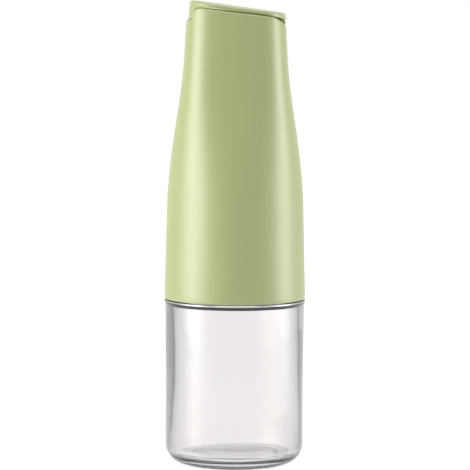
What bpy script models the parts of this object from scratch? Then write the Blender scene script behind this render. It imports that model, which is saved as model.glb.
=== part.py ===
"""Oil dispenser bottle: a glass jar, a screw-off pouring top and a flip lid that a weight opens.

Metres, +Z up. The origin is the middle of the jar's foot, on the surface that it stands on.
The spout and the front of the lid face -X, the lid's hinge is at the back, at +X.
"""

import math

import bmesh
import bpy
from mathutils import Matrix

COLLECTION = "oil_dispenser_bottle"
CUTTERS = "cutters"

# Fits shared by all the pieces
SEAT_GAP = 0.0003          # face to face, where one piece rests on another
RUN_GAP = 0.0006           # round what moves past its neighbour
PIN_FIT = 0.00006          # radial, between the hinge pin and its bores
OVERRUN = 0.004            # how far a cutter runs past what it cuts
ROOT = 0.0006              # how deep a rib is rooted in the wall that carries it
LARGE_ROUND = 0.0030       # rounds above this radius are drawn with more points

# Glass jar
JAR_RADIUS = 0.03955
JAR_WAIST = 0.0002         # how far the wall draws in at half height
JAR_WALL = 0.0036
JAR_FOOT_CORNER = 0.0115
JAR_FLOOR = 0.0056
JAR_FLOOR_CORNER = 0.0084
FOOT_RING = 0.00355        # width of the flat ring that the jar stands on
PUNT_FLARE = 0.0030        # width of the cone inside that ring
PUNT_HEIGHT = 0.0014
BEAD_PROUD = 0.00055
BEAD_HEIGHT = 0.0028
BEAD_ROUND = 0.0009
BEAD_TO_SHOULDER = 0.0012
SHOULDER_DROP = 0.0173     # of the ledge under the shell, below the rim
SHOULDER_SEAT = 0.0026     # width of the ledge under the shell
SHOULDER_ROUND = 0.0008
SHOULDER_RISE = 0.0013     # height of the seat inside that ledge
NECK_FOOT_DROP = 0.0132
NECK_FILLET = 0.0012
NECK_WALL = 0.0036
NECK_INNER_DROP = 0.0168
NECK_INNER_FLARE = 0.0037  # height of the slope from the neck into the jar
NECK_INNER_FILLET = 0.0055
RIM_HEIGHT = 0.1110
RIM_ROUND = 0.0009

# Screw thread of the neck
THREAD_PITCH = 0.00425
THREAD_TURNS = 1.5
THREAD_DEPTH = 0.0013
THREAD_ROOT_WIDTH = 0.0018
THREAD_CREST_WIDTH = 0.0009
THREAD_DROP = 0.0090       # from the rim to the thread's start
THREAD_CLEARANCE = 0.0005

# Gasket and threaded collar
GASKET_THICK = 0.0015
GASKET_SETBACK = 0.0003    # from the mouth's edge to the gasket's
GASKET_PROUD = 0.0008      # how far it stands outside the neck
COLLAR_WALL = 0.0024
COLLAR_CEILING = 0.0020
COLLAR_DROP = 0.0122       # how far the collar reaches below the rim
COLLAR_HOLE = 0.0088

# Tapered shell
SHELL_GAP = 0.0005         # between the jar's shoulder and the shell
SHELL_PROUD = 0.00045      # how far the shell's foot stands outside the jar
SHELL_WALL = 0.0022
SHELL_TOP_HALF = 0.0287
SHELL_TOP_RISE = 0.1390    # from the jar's rim to the level where that half width holds
SHELL_LOW_DRAFT_SHARE = 0.0220
SHELL_TOP_DRAFT_SHARE = 0.0550
WAIST_LOW_RISE = 0.0350    # above the jar's rim
WAIST_HIGH_DROP = 0.0200   # below the shell's top level
TOP_DEPTH_SHARE = 0.960    # depth over width where the shell is squared
CORNER_LOSS_SHARE = 0.42   # how far the corners have squared at the top
SHELL_ROWS = 20
SHELL_SIDES = 48

# Top rim of the shell, seen from the side
RIM_FRONT_RISE = 0.0018    # of the front wall under the lid's apron, above the top level
RIM_STEP_HEIGHT = 0.0062   # of the side walls behind the apron
RIM_STEP_ROUND = 0.0034
RIM_SLOPE_SHARE = 0.115
RIM_DROP_RUN = 0.0060      # from where the side walls start to fall to the hinge axis
RIM_DROP_ROUND = 0.0060
RIM_BACK_DROP = 0.0029     # below the top of the front wall
RIM_CUTTER = 0.0180        # how far the rim's cutter reaches above the step

# Ledges and ribs inside the shell
COLLAR_LEDGE_THICK = 0.0018
COLLAR_LEDGE_WIDTH = 0.0028
DECK_LEDGE_THICK = 0.0016
DECK_LEDGE_WIDTH = 0.0016
DRIVE_RIBS = 4
DRIVE_RIB_WIDTH = 0.0030
DRIVE_RIB_DEPTH = 0.0020
DRIVE_RIB_DROP = 0.0050

# Deck under the lid, with the ears of the hinge
DECK_DROP = 0.0085         # below the shell's top level
DECK_THICK = 0.0020
ARM_SWING = 0.0112         # room for the lid's arm in front of it
ARM_SLOT_INSET = 0.0044    # from the lid's back to the slot
EAR_THICK = 0.0026
EAR_RADIUS = 0.0022
EAR_EYE_SHARE = 0.95       # how round the ear's top is

# Pour tube
TUBE_RADIUS = 0.0070       # bore
TUBE_WALL = 0.0014
TUBE_SPIGOT_DROP = 0.0016
TUBE_FLANGE_WIDTH = 0.0051
TUBE_FLANGE_THICK = 0.0016
TUBE_SEAL_THICK = 0.0013
TUBE_BEND_RISE = 0.0170    # from the jar's rim to the start of the bend
TUBE_BEND_DROP = 0.0135    # from the deck to its end
TUBE_CUP_RADIUS = 0.0088
TUBE_CUP_DROP = 0.0035     # below the deck
TUBE_TOP_RISE = 0.0033     # above the deck's underside
TUBE_ROWS = 9
TUBE_SIDES = 28

# Spout, a nozzle in a drip cup
SPOUT_INSET = 0.0124       # from the lid's front to the spout's middle
CUP_WALL = 0.0012
CUP_DROP = 0.0020          # below the deck
CUP_FLANGE = 0.0101
CUP_FLANGE_THICK = 0.0012
NOZZLE_BORE = 0.0050
NOZZLE_WALL = 0.0012
NOZZLE_WAIST_RISE = 0.0085 # above the deck's underside
LIP_BORE = 0.0070
LIP_RADIUS = 0.0079
LIP_FORWARD = 0.0005
DRAIN_WIDTH = 0.0040
DRAIN_DEPTH = 0.0008

# Breather valve in the collar
VALVE_MARGIN = 0.0007      # from the valve's barb to the gasket
VALVE_HOLE = 0.0022
VALVE_STEM = 0.0019
VALVE_BORE = 0.0007
VALVE_HEAD = 0.0044
VALVE_HEAD_GAP = 0.0011    # from the valve's head to the tube's flange
VALVE_BARB = 0.0032
VALVE_HEAD_THICK = 0.0012
VALVE_BARB_DROP = 0.0024

# Hinge
HINGE_INSET = 0.0046       # from the lid's back to the hinge axis
HINGE_RISE = 0.0004        # above the shell's top level
KNUCKLE_RADIUS = 0.0039
KNUCKLE_HALF = 0.0102
PIN_RADIUS = 0.0010
PIN_RECESS = 0.0002

# Flip lid
LID_FRONT_INSET = 0.0015   # from the shell's front wall
LID_BACK_INSET = 0.0003
LID_SIDE_INSET = 0.00075
LID_CORNER = 0.0155
LID_TOP_RISE = 0.0111      # of the front edge, above the shell's front wall
LID_SLOPE_SHARE = 0.135
LID_DRAFT = 0.0006         # how much narrower the lid is at its top
LID_EDGE_ROUND = 0.0013
LID_WALL = 0.0020
LID_PLATE = 0.0022
LID_APRON_GAP = 0.0005     # over the shell's front wall
LID_STRIP_BACK_RISE = 0.0022   # above the hinge axis
LID_SIDES = 48
WEB_FRONT = 0.0036         # from the hinge axis
WEB_BACK = 0.0011
SOCKET_WALL = 0.0011
SOCKET_DEPTH = 0.0013

# Seal pad under the lid
PAD_RADIUS = 0.0089
PAD_THICK = 0.0020

# Weight carrier on the lid
CARRIER_HALF = 0.0094
CARRIER_PLATE = 0.0102     # how far the plate under the lid reaches in front of the arm
CARRIER_PLATE_THICK = 0.0016
ARM_RUN = 0.0086           # from the arm's front to the hinge axis
ARM_THICK = 0.0026
WEIGHT_BOX_INSET = 0.0020  # from the lid's back
WEIGHT_BOX_DROP = 0.0164   # below the hinge axis
WEIGHT_BOX_HEIGHT = 0.0175
WEIGHT_BOX_WALL = 0.0012
WEIGHT_COVER_THICK = 0.0012

GREEN = (0.42, 0.47, 0.22, 1.0)
CLEAR_GLASS = (0.92, 0.95, 0.94, 1.0)
FROSTED = (0.82, 0.82, 0.79, 1.0)
WHITE = (0.80, 0.80, 0.76, 1.0)
STEEL = (0.60, 0.60, 0.61, 1.0)


# Scene, materials and object helpers

def clear_scene():
    for obj in list(bpy.data.objects):
        bpy.data.objects.remove(obj, do_unlink=True)


def collection(name, hidden=False):
    made = bpy.data.collections.new(name)
    bpy.context.scene.collection.children.link(made)
    made.hide_render = hidden
    return made


def material(name, colour, roughness, metallic=0.0, transmission=0.0):
    made = bpy.data.materials.new(name)
    made.use_nodes = True
    shader = made.node_tree.nodes["Principled BSDF"]
    shader.inputs["Base Color"].default_value = colour
    shader.inputs["Roughness"].default_value = roughness
    shader.inputs["Metallic"].default_value = metallic
    shader.inputs["Transmission Weight"].default_value = transmission
    made.diffuse_color = colour
    return made


def add_object(name, mesh, surface=None):
    """A part where a surface is given, otherwise a cutter or a guide."""
    obj = bpy.data.objects.new(name, mesh)
    home = bpy.data.collections[COLLECTION if surface else CUTTERS]
    home.objects.link(obj)
    if surface:
        mesh.materials.append(surface)
        mesh.shade_smooth()
        mesh.set_sharp_from_angle(angle=math.radians(35))
    else:
        obj.hide_render = True
        obj.display_type = "WIRE"
    return obj


def boolean(obj, operation, other):
    change = obj.modifiers.new(f"{operation.lower()}_{other.name}", "BOOLEAN")
    change.operation = operation
    change.solver = "EXACT"
    change.object = other
    return change


def cut(obj, *others):
    for other in others:
        boolean(obj, "DIFFERENCE", other)


def join(obj, *others):
    for other in others:
        boolean(obj, "UNION", other)


# Outlines

def filleted(corners):
    """Points along a polyline of (x, z, radius) corners, each rounded by an arc of its radius."""
    points = []
    for index, (x, z, radius) in enumerate(corners):
        if radius == 0 or index in (0, len(corners) - 1):
            points.append((x, z))
            continue
        before = _unit(corners[index - 1], corners[index])
        after = _unit(corners[index + 1], corners[index])
        half = math.acos(max(-1.0, min(1.0, before[0] * after[0] + before[1] * after[1]))) / 2
        middle = (before[0] + after[0], before[1] + after[1])
        length = math.hypot(*middle)
        centre = (x + middle[0] / length * radius / math.sin(half),
                  z + middle[1] / length * radius / math.sin(half))
        reach = radius / math.tan(half)
        start = (x + before[0] * reach, z + before[1] * reach)
        end = (x + after[0] * reach, z + after[1] * reach)
        a0 = math.atan2(start[1] - centre[1], start[0] - centre[0])
        turn = math.atan2(end[1] - centre[1], end[0] - centre[0]) - a0
        turn = (turn + math.pi) % (2 * math.pi) - math.pi
        steps = 5 if radius > LARGE_ROUND else 2
        for step in range(steps + 1):
            angle = a0 + turn * step / steps
            points.append((centre[0] + radius * math.cos(angle), centre[1] + radius * math.sin(angle)))
    return points


def _unit(towards, origin):
    dx, dz = towards[0] - origin[0], towards[1] - origin[1]
    length = math.hypot(dx, dz)
    return dx / length, dz / length


# Solids

def turned(name, profile, steps, surface=None, closed=False, at=(0, 0, 0)):
    """A profile of (radius, height) points screwed round Z; it runs down its outer side."""
    mesh = bpy.data.meshes.new(name)
    count = len(profile)
    edges = [(i, i + 1) for i in range(count - 1)] + ([(count - 1, 0)] if closed else [])
    mesh.from_pydata([(r, 0, z) for r, z in profile], edges, [])
    obj = add_object(name, mesh, surface)
    obj.location = at
    screw = obj.modifiers.new("turn", "SCREW")
    screw.steps = screw.render_steps = steps
    screw.use_merge_vertices = True
    screw.merge_threshold = 1e-6
    screw.use_smooth_shade = True
    return obj


def loft(name, rings, surface=None, closed=False):
    """Skin of flat facets over rings of as many points each, capped at both ends or closed on itself."""
    shape = bmesh.new()
    rows = [[shape.verts.new(point) for point in ring] for ring in rings]
    pairs = list(zip(rows, rows[1:])) + ([(rows[-1], rows[0])] if closed else [])
    for low, high in pairs:
        for i in range(len(low)):
            j = (i + 1) % len(low)
            shape.faces.new((low[i], low[j], high[j], high[i]))
    bmesh.ops.triangulate(shape, faces=shape.faces)
    if not closed:
        shape.faces.new(list(reversed(rows[0])))
        shape.faces.new(rows[-1])
    bmesh.ops.recalc_face_normals(shape, faces=shape.faces)
    mesh = bpy.data.meshes.new(name)
    shape.to_mesh(mesh)
    shape.free()
    return add_object(name, mesh, surface)


def block(name, low, high, surface=None):
    """A box between two corners."""
    shape = bmesh.new()
    bmesh.ops.create_cube(shape, size=1.0)
    size = [b - a for a, b in zip(low, high)]
    middle = [(a + b) / 2 for a, b in zip(low, high)]
    bmesh.ops.scale(shape, vec=size, verts=shape.verts)
    bmesh.ops.translate(shape, vec=middle, verts=shape.verts)
    mesh = bpy.data.meshes.new(name)
    shape.to_mesh(mesh)
    shape.free()
    return add_object(name, mesh, surface)


def cylinder(name, radius, half_length, centre, turn=None, sides=32, surface=None):
    """A cylinder about its own Z, turned and then moved to its centre."""
    shape = bmesh.new()
    bmesh.ops.create_cone(shape, cap_ends=True, segments=sides, radius1=radius, radius2=radius,
                          depth=2 * half_length)
    mesh = bpy.data.meshes.new(name)
    shape.to_mesh(mesh)
    shape.free()
    obj = add_object(name, mesh, surface)
    obj.matrix_world = Matrix.Translation(centre) @ (turn or Matrix.Identity(4))
    return obj


def side_plate(name, outline, half_width, surface=None):
    """A closed outline of (x, z) points, extruded along Y by its half width to both sides."""
    curve = bpy.data.curves.new(name + "_outline", "CURVE")
    curve.dimensions = "2D"
    curve.fill_mode = "BOTH"
    curve.extrude = half_width
    spline = curve.splines.new("POLY")
    spline.points.add(len(outline) - 1)
    for point, (x, z) in zip(spline.points, outline):
        point.co = (x, z, 0, 1)
    spline.use_cyclic_u = True
    drawn = bpy.data.objects.new(name + "_outline", curve)
    bpy.context.scene.collection.objects.link(drawn)
    drawn.matrix_world = Matrix.Rotation(math.pi / 2, 4, "X")
    bpy.context.view_layer.update()
    ready = drawn.evaluated_get(bpy.context.evaluated_depsgraph_get())
    mesh = bpy.data.meshes.new_from_object(ready)
    placed = drawn.matrix_world.copy()
    bpy.data.objects.remove(drawn)
    shape = bmesh.new()
    shape.from_mesh(mesh)
    bmesh.ops.remove_doubles(shape, verts=shape.verts, dist=1e-6)
    bmesh.ops.recalc_face_normals(shape, faces=shape.faces)
    shape.to_mesh(mesh)
    shape.free()
    mesh.name = name
    obj = add_object(name, mesh, surface)
    obj.matrix_world = placed
    return obj


ALONG_Y = Matrix.Rotation(math.pi / 2, 4, "X")


# Sections of the shell and of the lid

def rounded_ring(middle_x, half_x, half_y, corner, level, sides):
    """Points of a rounded rectangle, evenly by the angle of their normals."""
    ring = []
    for index in range(sides):
        angle = 2 * math.pi * (index + 0.5) / sides
        x = math.copysign(half_x - corner, math.cos(angle)) + corner * math.cos(angle)
        y = math.copysign(half_y - corner, math.sin(angle)) + corner * math.sin(angle)
        ring.append((middle_x + x, y, level(middle_x + x) if callable(level) else level))
    return ring


def squared_share(z):
    """0 where the shell is round, 1 where it has its squared top section."""
    t = max(0.0, min(1.0, (z - WAIST_LOW) / (WAIST_HIGH - WAIST_LOW)))
    return t * t * (3 - 2 * t)


def shell_half(z):
    """Half width of the shell at a height: two drafted tapers, blended across the waist."""
    lower = SHELL_RADIUS - SHELL_LOW_DRAFT_SHARE * (z - SHELL_LOW)
    upper = SHELL_TOP_HALF + SHELL_TOP_DRAFT_SHARE * (SHELL_TOP_LEVEL - z)
    return lower + (upper - lower) * squared_share(z)


def shell_ring(z, inset=0.0):
    """The shell's outer section at a height, moved inwards by the inset."""
    half = shell_half(z)
    depth = half * (1 - (1 - TOP_DEPTH_SHARE) * squared_share(z))
    corner = depth * (1 - CORNER_LOSS_SHARE * squared_share(z))
    return rounded_ring(0, half - inset, depth - inset, corner - inset, z, SHELL_SIDES)


def inner_wall(levels, ledges):
    """(height, inset) steps down the shell's inner wall, out round each (low, high, width) ledge."""
    steps = [(z, SHELL_WALL) for z in levels if not any(low <= z <= high for low, high, _ in ledges)]
    for low, high, width in ledges:
        steps += [(high, SHELL_WALL), (high, SHELL_WALL + width),
                  (low, SHELL_WALL + width), (low, SHELL_WALL)]
    return sorted(steps, key=lambda step: -step[0])


def lid_top(x):
    return LID_TOP - LID_SLOPE_SHARE * (x - LID_FRONT)


def lid_under(x):
    return lid_top(x) - LID_PLATE


def pad_middle():
    """Middle of the seal pad's upper face, just under the lid."""
    x = SPOUT_X - LIP_FORWARD
    return x, lid_under(x) - SEAT_GAP


def lid_tilt():
    return Matrix.Rotation(math.atan(LID_SLOPE_SHARE), 4, "Y")


def rim_line(x):
    return RIM_STEP_TOP - RIM_SLOPE_SHARE * (x - RIM_STEP_X)


def circle_ring(middle_x, radius, z, sides=TUBE_SIDES, slope_share=0.0):
    ring = []
    for index in range(sides):
        angle = 2 * math.pi * index / sides
        x = radius * math.cos(angle)
        ring.append((middle_x + x, radius * math.sin(angle), z - slope_share * x))
    return ring


# Sizes and levels that follow

FOOT_INNER_RADIUS = JAR_RADIUS - JAR_FOOT_CORNER - FOOT_RING
PUNT_RADIUS = FOOT_INNER_RADIUS - PUNT_FLARE
BEAD_RADIUS = JAR_RADIUS + BEAD_PROUD
SHOULDER_TOP = RIM_HEIGHT - SHOULDER_DROP
SHOULDER_FOOT = SHOULDER_TOP + SHOULDER_RISE
BEAD_HIGH = SHOULDER_TOP - BEAD_TO_SHOULDER
BEAD_LOW = BEAD_HIGH - BEAD_HEIGHT
NECK_FOOT = RIM_HEIGHT - NECK_FOOT_DROP
NECK_INNER_FOOT = RIM_HEIGHT - NECK_INNER_DROP
NECK_INNER_SHOULDER = NECK_INNER_FOOT - NECK_INNER_FLARE
THREAD_START = RIM_HEIGHT - THREAD_DROP
COLLAR_LOW = RIM_HEIGHT - COLLAR_DROP
DRIVE_RIB_LOW = RIM_HEIGHT - DRIVE_RIB_DROP
SHELL_RADIUS = JAR_RADIUS + SHELL_PROUD
SHELL_LOW = SHOULDER_TOP + SHELL_GAP
SHELL_TOP_LEVEL = RIM_HEIGHT + SHELL_TOP_RISE
WAIST_LOW = RIM_HEIGHT + WAIST_LOW_RISE
WAIST_HIGH = SHELL_TOP_LEVEL - WAIST_HIGH_DROP
RIM_FRONT = SHELL_TOP_LEVEL + RIM_FRONT_RISE
RIM_STEP_TOP = RIM_FRONT + RIM_STEP_HEIGHT
RIM_ABOVE = RIM_STEP_TOP + RIM_CUTTER
RIM_BACK = RIM_FRONT - RIM_BACK_DROP
DECK_LOW = SHELL_TOP_LEVEL - DECK_DROP
TUBE_BEND_LOW = RIM_HEIGHT + TUBE_BEND_RISE
TUBE_BEND_HIGH = DECK_LOW - TUBE_BEND_DROP
TUBE_CUP_LOW = DECK_LOW - TUBE_CUP_DROP
TUBE_TOP = DECK_LOW + TUBE_TOP_RISE
CUP_LOW = DECK_LOW - CUP_DROP
NOZZLE_WAIST = DECK_LOW + NOZZLE_WAIST_RISE
HINGE_Z = SHELL_TOP_LEVEL + HINGE_RISE
LID_TOP = RIM_FRONT + LID_TOP_RISE
LID_APRON_LOW = RIM_FRONT + LID_APRON_GAP
LID_STRIP_BACK = HINGE_Z + LID_STRIP_BACK_RISE
WEIGHT_BOX_TOP = HINGE_Z - WEIGHT_BOX_DROP
WEIGHT_BOX_LOW = WEIGHT_BOX_TOP - WEIGHT_BOX_HEIGHT
LID_FRONT = LID_FRONT_INSET - SHELL_TOP_HALF
LID_BACK = SHELL_TOP_HALF - LID_BACK_INSET
LID_HALF_DEPTH = SHELL_TOP_HALF * TOP_DEPTH_SHARE - LID_SIDE_INSET
RIM_STEP_X = LID_FRONT + LID_WALL
SPOUT_X = LID_FRONT + SPOUT_INSET
HINGE_X = LID_BACK - HINGE_INSET
RIM_DROP_X = HINGE_X - RIM_DROP_RUN
ARM_FRONT = HINGE_X - ARM_RUN
CARRIER_PLATE_FRONT = ARM_FRONT - CARRIER_PLATE
ARM_SLOT_FRONT = ARM_FRONT - ARM_SWING
ARM_SLOT_BACK = LID_BACK - ARM_SLOT_INSET
WEIGHT_BOX_BACK = LID_BACK - WEIGHT_BOX_INSET
CEILING_LOW = RIM_HEIGHT + SEAT_GAP + GASKET_THICK + SEAT_GAP
CEILING_HIGH = CEILING_LOW + COLLAR_CEILING
TUBE_FLANGE = TUBE_RADIUS + TUBE_WALL + TUBE_FLANGE_WIDTH
VALVE_X = TUBE_FLANGE + VALVE_HEAD_GAP + VALVE_HEAD
GASKET_INNER = VALVE_X + VALVE_BARB + VALVE_MARGIN
NECK_RADIUS = GASKET_INNER - GASKET_SETBACK + NECK_WALL
COLLAR_BORE = NECK_RADIUS + THREAD_DEPTH + THREAD_CLEARANCE
FLANGE_LOW = CEILING_HIGH + SEAT_GAP + TUBE_SEAL_THICK + SEAT_GAP
DECK_HIGH = DECK_LOW + DECK_THICK
CUP_SEAT = TUBE_TOP + SEAT_GAP
CUP_RIM = CUP_SEAT + CUP_FLANGE_THICK
EAR_INNER = KNUCKLE_HALF + SEAT_GAP
EAR_OUTER = EAR_INNER + EAR_THICK
CARRIER_SLOT = CARRIER_HALF + RUN_GAP
PIN_BORE = PIN_RADIUS + PIN_FIT


# Helical ridge of a screw thread

def helix_ridge(name, root, crest, start):
    """A ridge of trapezoid section from the root radius to the crest radius, one and a half turns."""
    half_root, half_crest = THREAD_ROOT_WIDTH / 2, THREAD_CREST_WIDTH / 2
    outline = [(root, start - half_root), (crest, start - half_crest),
               (crest, start + half_crest), (root, start + half_root)]
    steps = round(SHELL_SIDES * THREAD_TURNS)
    shape = bmesh.new()
    verts = [shape.verts.new((x, 0, z)) for x, z in outline]
    face = shape.faces.new(verts)
    bmesh.ops.spin(shape, geom=[face, *face.edges, *face.verts], cent=(0, 0, 0), axis=(0, 0, 1),
                   dvec=(0, 0, THREAD_PITCH * THREAD_TURNS / steps),
                   angle=2 * math.pi * THREAD_TURNS, steps=steps, use_duplicate=False)
    bmesh.ops.recalc_face_normals(shape, faces=shape.faces)
    mesh = bpy.data.meshes.new(name)
    shape.to_mesh(mesh)
    shape.free()
    return add_object(name, mesh)


# Pieces

def glass_jar(glass):
    inner = JAR_RADIUS - JAR_WALL
    mouth = NECK_RADIUS - NECK_WALL
    middle = (JAR_FOOT_CORNER + BEAD_LOW) / 2
    profile = filleted([
        (0, JAR_FLOOR, 0),
        (inner, JAR_FLOOR, JAR_FLOOR_CORNER),
        (inner, NECK_INNER_SHOULDER, NECK_INNER_FILLET),
        (mouth, NECK_INNER_FOOT, NECK_FILLET),
        (mouth, RIM_HEIGHT, RIM_ROUND),
        (NECK_RADIUS, RIM_HEIGHT, RIM_ROUND),
        (NECK_RADIUS, NECK_FOOT, NECK_FILLET),
        (JAR_RADIUS - SHOULDER_SEAT, SHOULDER_FOOT, SHOULDER_ROUND),
        (JAR_RADIUS - SHOULDER_SEAT, SHOULDER_TOP, 0),
        (JAR_RADIUS, SHOULDER_TOP, SHOULDER_ROUND),
        (JAR_RADIUS, BEAD_HIGH, 0),
        (BEAD_RADIUS, BEAD_HIGH - BEAD_ROUND / 2, BEAD_ROUND / 2),
        (BEAD_RADIUS, BEAD_LOW + BEAD_ROUND / 2, BEAD_ROUND / 2),
        (JAR_RADIUS, BEAD_LOW - BEAD_ROUND, 0),
        (JAR_RADIUS - JAR_WAIST, middle, 0),
        (JAR_RADIUS, 0, JAR_FOOT_CORNER),
        (FOOT_INNER_RADIUS, 0, 0),
        (PUNT_RADIUS, PUNT_HEIGHT, 0),
        (0, PUNT_HEIGHT, 0),
    ])
    jar = turned("glass_jar", profile, SHELL_SIDES, glass)
    join(jar, helix_ridge("neck_thread", NECK_RADIUS - ROOT, NECK_RADIUS + THREAD_DEPTH, THREAD_START))
    return jar


def neck_gasket(silicone):
    low = RIM_HEIGHT + SEAT_GAP
    outer = NECK_RADIUS + GASKET_PROUD
    return turned("neck_gasket", [(outer, low + GASKET_THICK), (outer, low), (GASKET_INNER, low),
                                  (GASKET_INNER, low + GASKET_THICK)], SHELL_SIDES, silicone, closed=True)


def collar_flange_radius():
    return shell_half(CEILING_HIGH) - SHELL_WALL - SEAT_GAP


def rib_place(index):
    return 2 * math.pi * index / DRIVE_RIBS


def rib_block(name, angle, inner, outer, width, low, high):
    """A block that lies along a radius of the shell."""
    made = block(name, (inner, -width / 2, low), (outer, width / 2, high))
    made.matrix_world = Matrix.Rotation(angle, 4, "Z")
    return made


def threaded_collar(plastic):
    outer = COLLAR_BORE + COLLAR_WALL
    flange = collar_flange_radius()
    collar = turned("threaded_collar", [
        (COLLAR_HOLE, CEILING_HIGH), (flange, CEILING_HIGH), (flange, CEILING_LOW),
        (outer, CEILING_LOW), (outer, COLLAR_LOW), (COLLAR_BORE, COLLAR_LOW),
        (COLLAR_BORE, CEILING_LOW), (COLLAR_HOLE, CEILING_LOW),
    ], SHELL_SIDES, plastic, closed=True)
    join(collar, helix_ridge("collar_thread", COLLAR_BORE + ROOT, COLLAR_BORE - THREAD_DEPTH,
                             THREAD_START - THREAD_PITCH / 2))
    cut(collar, cylinder("valve_hole", VALVE_HOLE, COLLAR_CEILING + OVERRUN, (VALVE_X, 0, CEILING_HIGH)))
    for index in range(DRIVE_RIBS):
        cut(collar, rib_block(f"rib_notch_{index}", rib_place(index),
                              flange - DRIVE_RIB_DEPTH, flange + OVERRUN,
                              DRIVE_RIB_WIDTH + 2 * SEAT_GAP,
                              CEILING_LOW - OVERRUN, CEILING_HIGH + OVERRUN))
    return collar


def outer_shell(green):
    top = lid_top(LID_FRONT)
    levels = [SHELL_LOW + (top - SHELL_LOW) * row / SHELL_ROWS for row in range(SHELL_ROWS + 1)]
    collar_ledge = CEILING_HIGH + SEAT_GAP
    deck_ledge = DECK_LOW - SEAT_GAP
    steps = inner_wall(levels, [
        (collar_ledge, collar_ledge + COLLAR_LEDGE_THICK, COLLAR_LEDGE_WIDTH),
        (deck_ledge - DECK_LEDGE_THICK, deck_ledge, DECK_LEDGE_WIDTH),
    ])
    rings = [shell_ring(z) for z in levels] + [shell_ring(z, inset) for z, inset in steps]
    shell = loft("outer_shell", rings, green, closed=True)
    wall_inner = collar_flange_radius() + SEAT_GAP
    for index in range(DRIVE_RIBS):
        join(shell, rib_block(f"drive_rib_{index}", rib_place(index),
                              wall_inner - DRIVE_RIB_DEPTH, wall_inner + SHELL_WALL - ROOT,
                              DRIVE_RIB_WIDTH, DRIVE_RIB_LOW, collar_ledge + ROOT))
    far = SHELL_RADIUS + OVERRUN
    rim = filleted([
        (-far, RIM_ABOVE, 0),
        (-far, RIM_FRONT, 0),
        (RIM_STEP_X, RIM_FRONT, 0),
        (RIM_STEP_X, rim_line(RIM_STEP_X), RIM_STEP_ROUND),
        (RIM_DROP_X, rim_line(RIM_DROP_X), RIM_DROP_ROUND),
        (LID_BACK, RIM_BACK, 0),
        (far, RIM_BACK, 0),
        (far, RIM_ABOVE, 0),
    ])
    cut(shell,
        side_plate("rim_cutter", rim, far),
        cylinder("knuckle_scoop", KNUCKLE_RADIUS + SEAT_GAP, KNUCKLE_HALF + RUN_GAP,
                 (HINGE_X, 0, HINGE_Z), ALONG_Y))
    return shell


def tube_x(z):
    """How far the pour tube has leant towards the front at a height."""
    t = max(0.0, min(1.0, (z - TUBE_BEND_LOW) / (TUBE_BEND_HIGH - TUBE_BEND_LOW)))
    return SPOUT_X * t * t * (3 - 2 * t)


def pour_tube(plastic):
    foot = CEILING_LOW - TUBE_SPIGOT_DROP
    flange_top = FLANGE_LOW + TUBE_FLANGE_THICK
    stretch = [flange_top + (TUBE_BEND_HIGH - flange_top) * row / TUBE_ROWS for row in range(TUBE_ROWS + 1)]
    outer = TUBE_RADIUS + TUBE_WALL
    cup_outer = TUBE_CUP_RADIUS + TUBE_WALL
    rings = [circle_ring(0, TUBE_RADIUS, foot), circle_ring(0, outer, foot),
             circle_ring(0, outer, FLANGE_LOW), circle_ring(0, TUBE_FLANGE, FLANGE_LOW),
             circle_ring(0, TUBE_FLANGE, flange_top)]
    rings += [circle_ring(tube_x(z), outer, z) for z in stretch]
    rings += [circle_ring(SPOUT_X, cup_outer, TUBE_CUP_LOW), circle_ring(SPOUT_X, cup_outer, TUBE_TOP),
              circle_ring(SPOUT_X, TUBE_CUP_RADIUS, TUBE_TOP),
              circle_ring(SPOUT_X, TUBE_CUP_RADIUS, TUBE_CUP_LOW)]
    rings += [circle_ring(tube_x(z), TUBE_RADIUS, z) for z in reversed(stretch)]
    return loft("pour_tube", rings, plastic, closed=True)


def tube_seal(silicone):
    low = CEILING_HIGH + SEAT_GAP
    inner = TUBE_RADIUS + TUBE_WALL + SEAT_GAP
    high = low + TUBE_SEAL_THICK
    return turned("tube_seal", [(TUBE_FLANGE, high), (TUBE_FLANGE, low), (inner, low), (inner, high)],
                  TUBE_SIDES, silicone, closed=True)


def breather_valve(silicone):
    head_low = CEILING_HIGH + SEAT_GAP
    barb_high = CEILING_LOW - SEAT_GAP
    barb_low = barb_high - VALVE_BARB_DROP
    return turned("breather_valve", [
        (VALVE_BORE, head_low + VALVE_HEAD_THICK), (VALVE_STEM, head_low + VALVE_HEAD_THICK),
        (VALVE_HEAD, head_low), (VALVE_STEM, head_low), (VALVE_STEM, barb_high),
        (VALVE_BARB, barb_high), (VALVE_STEM, barb_low), (VALVE_BORE, barb_low),
    ], TUBE_SIDES, silicone, closed=True, at=(VALVE_X, 0, 0))


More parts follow.
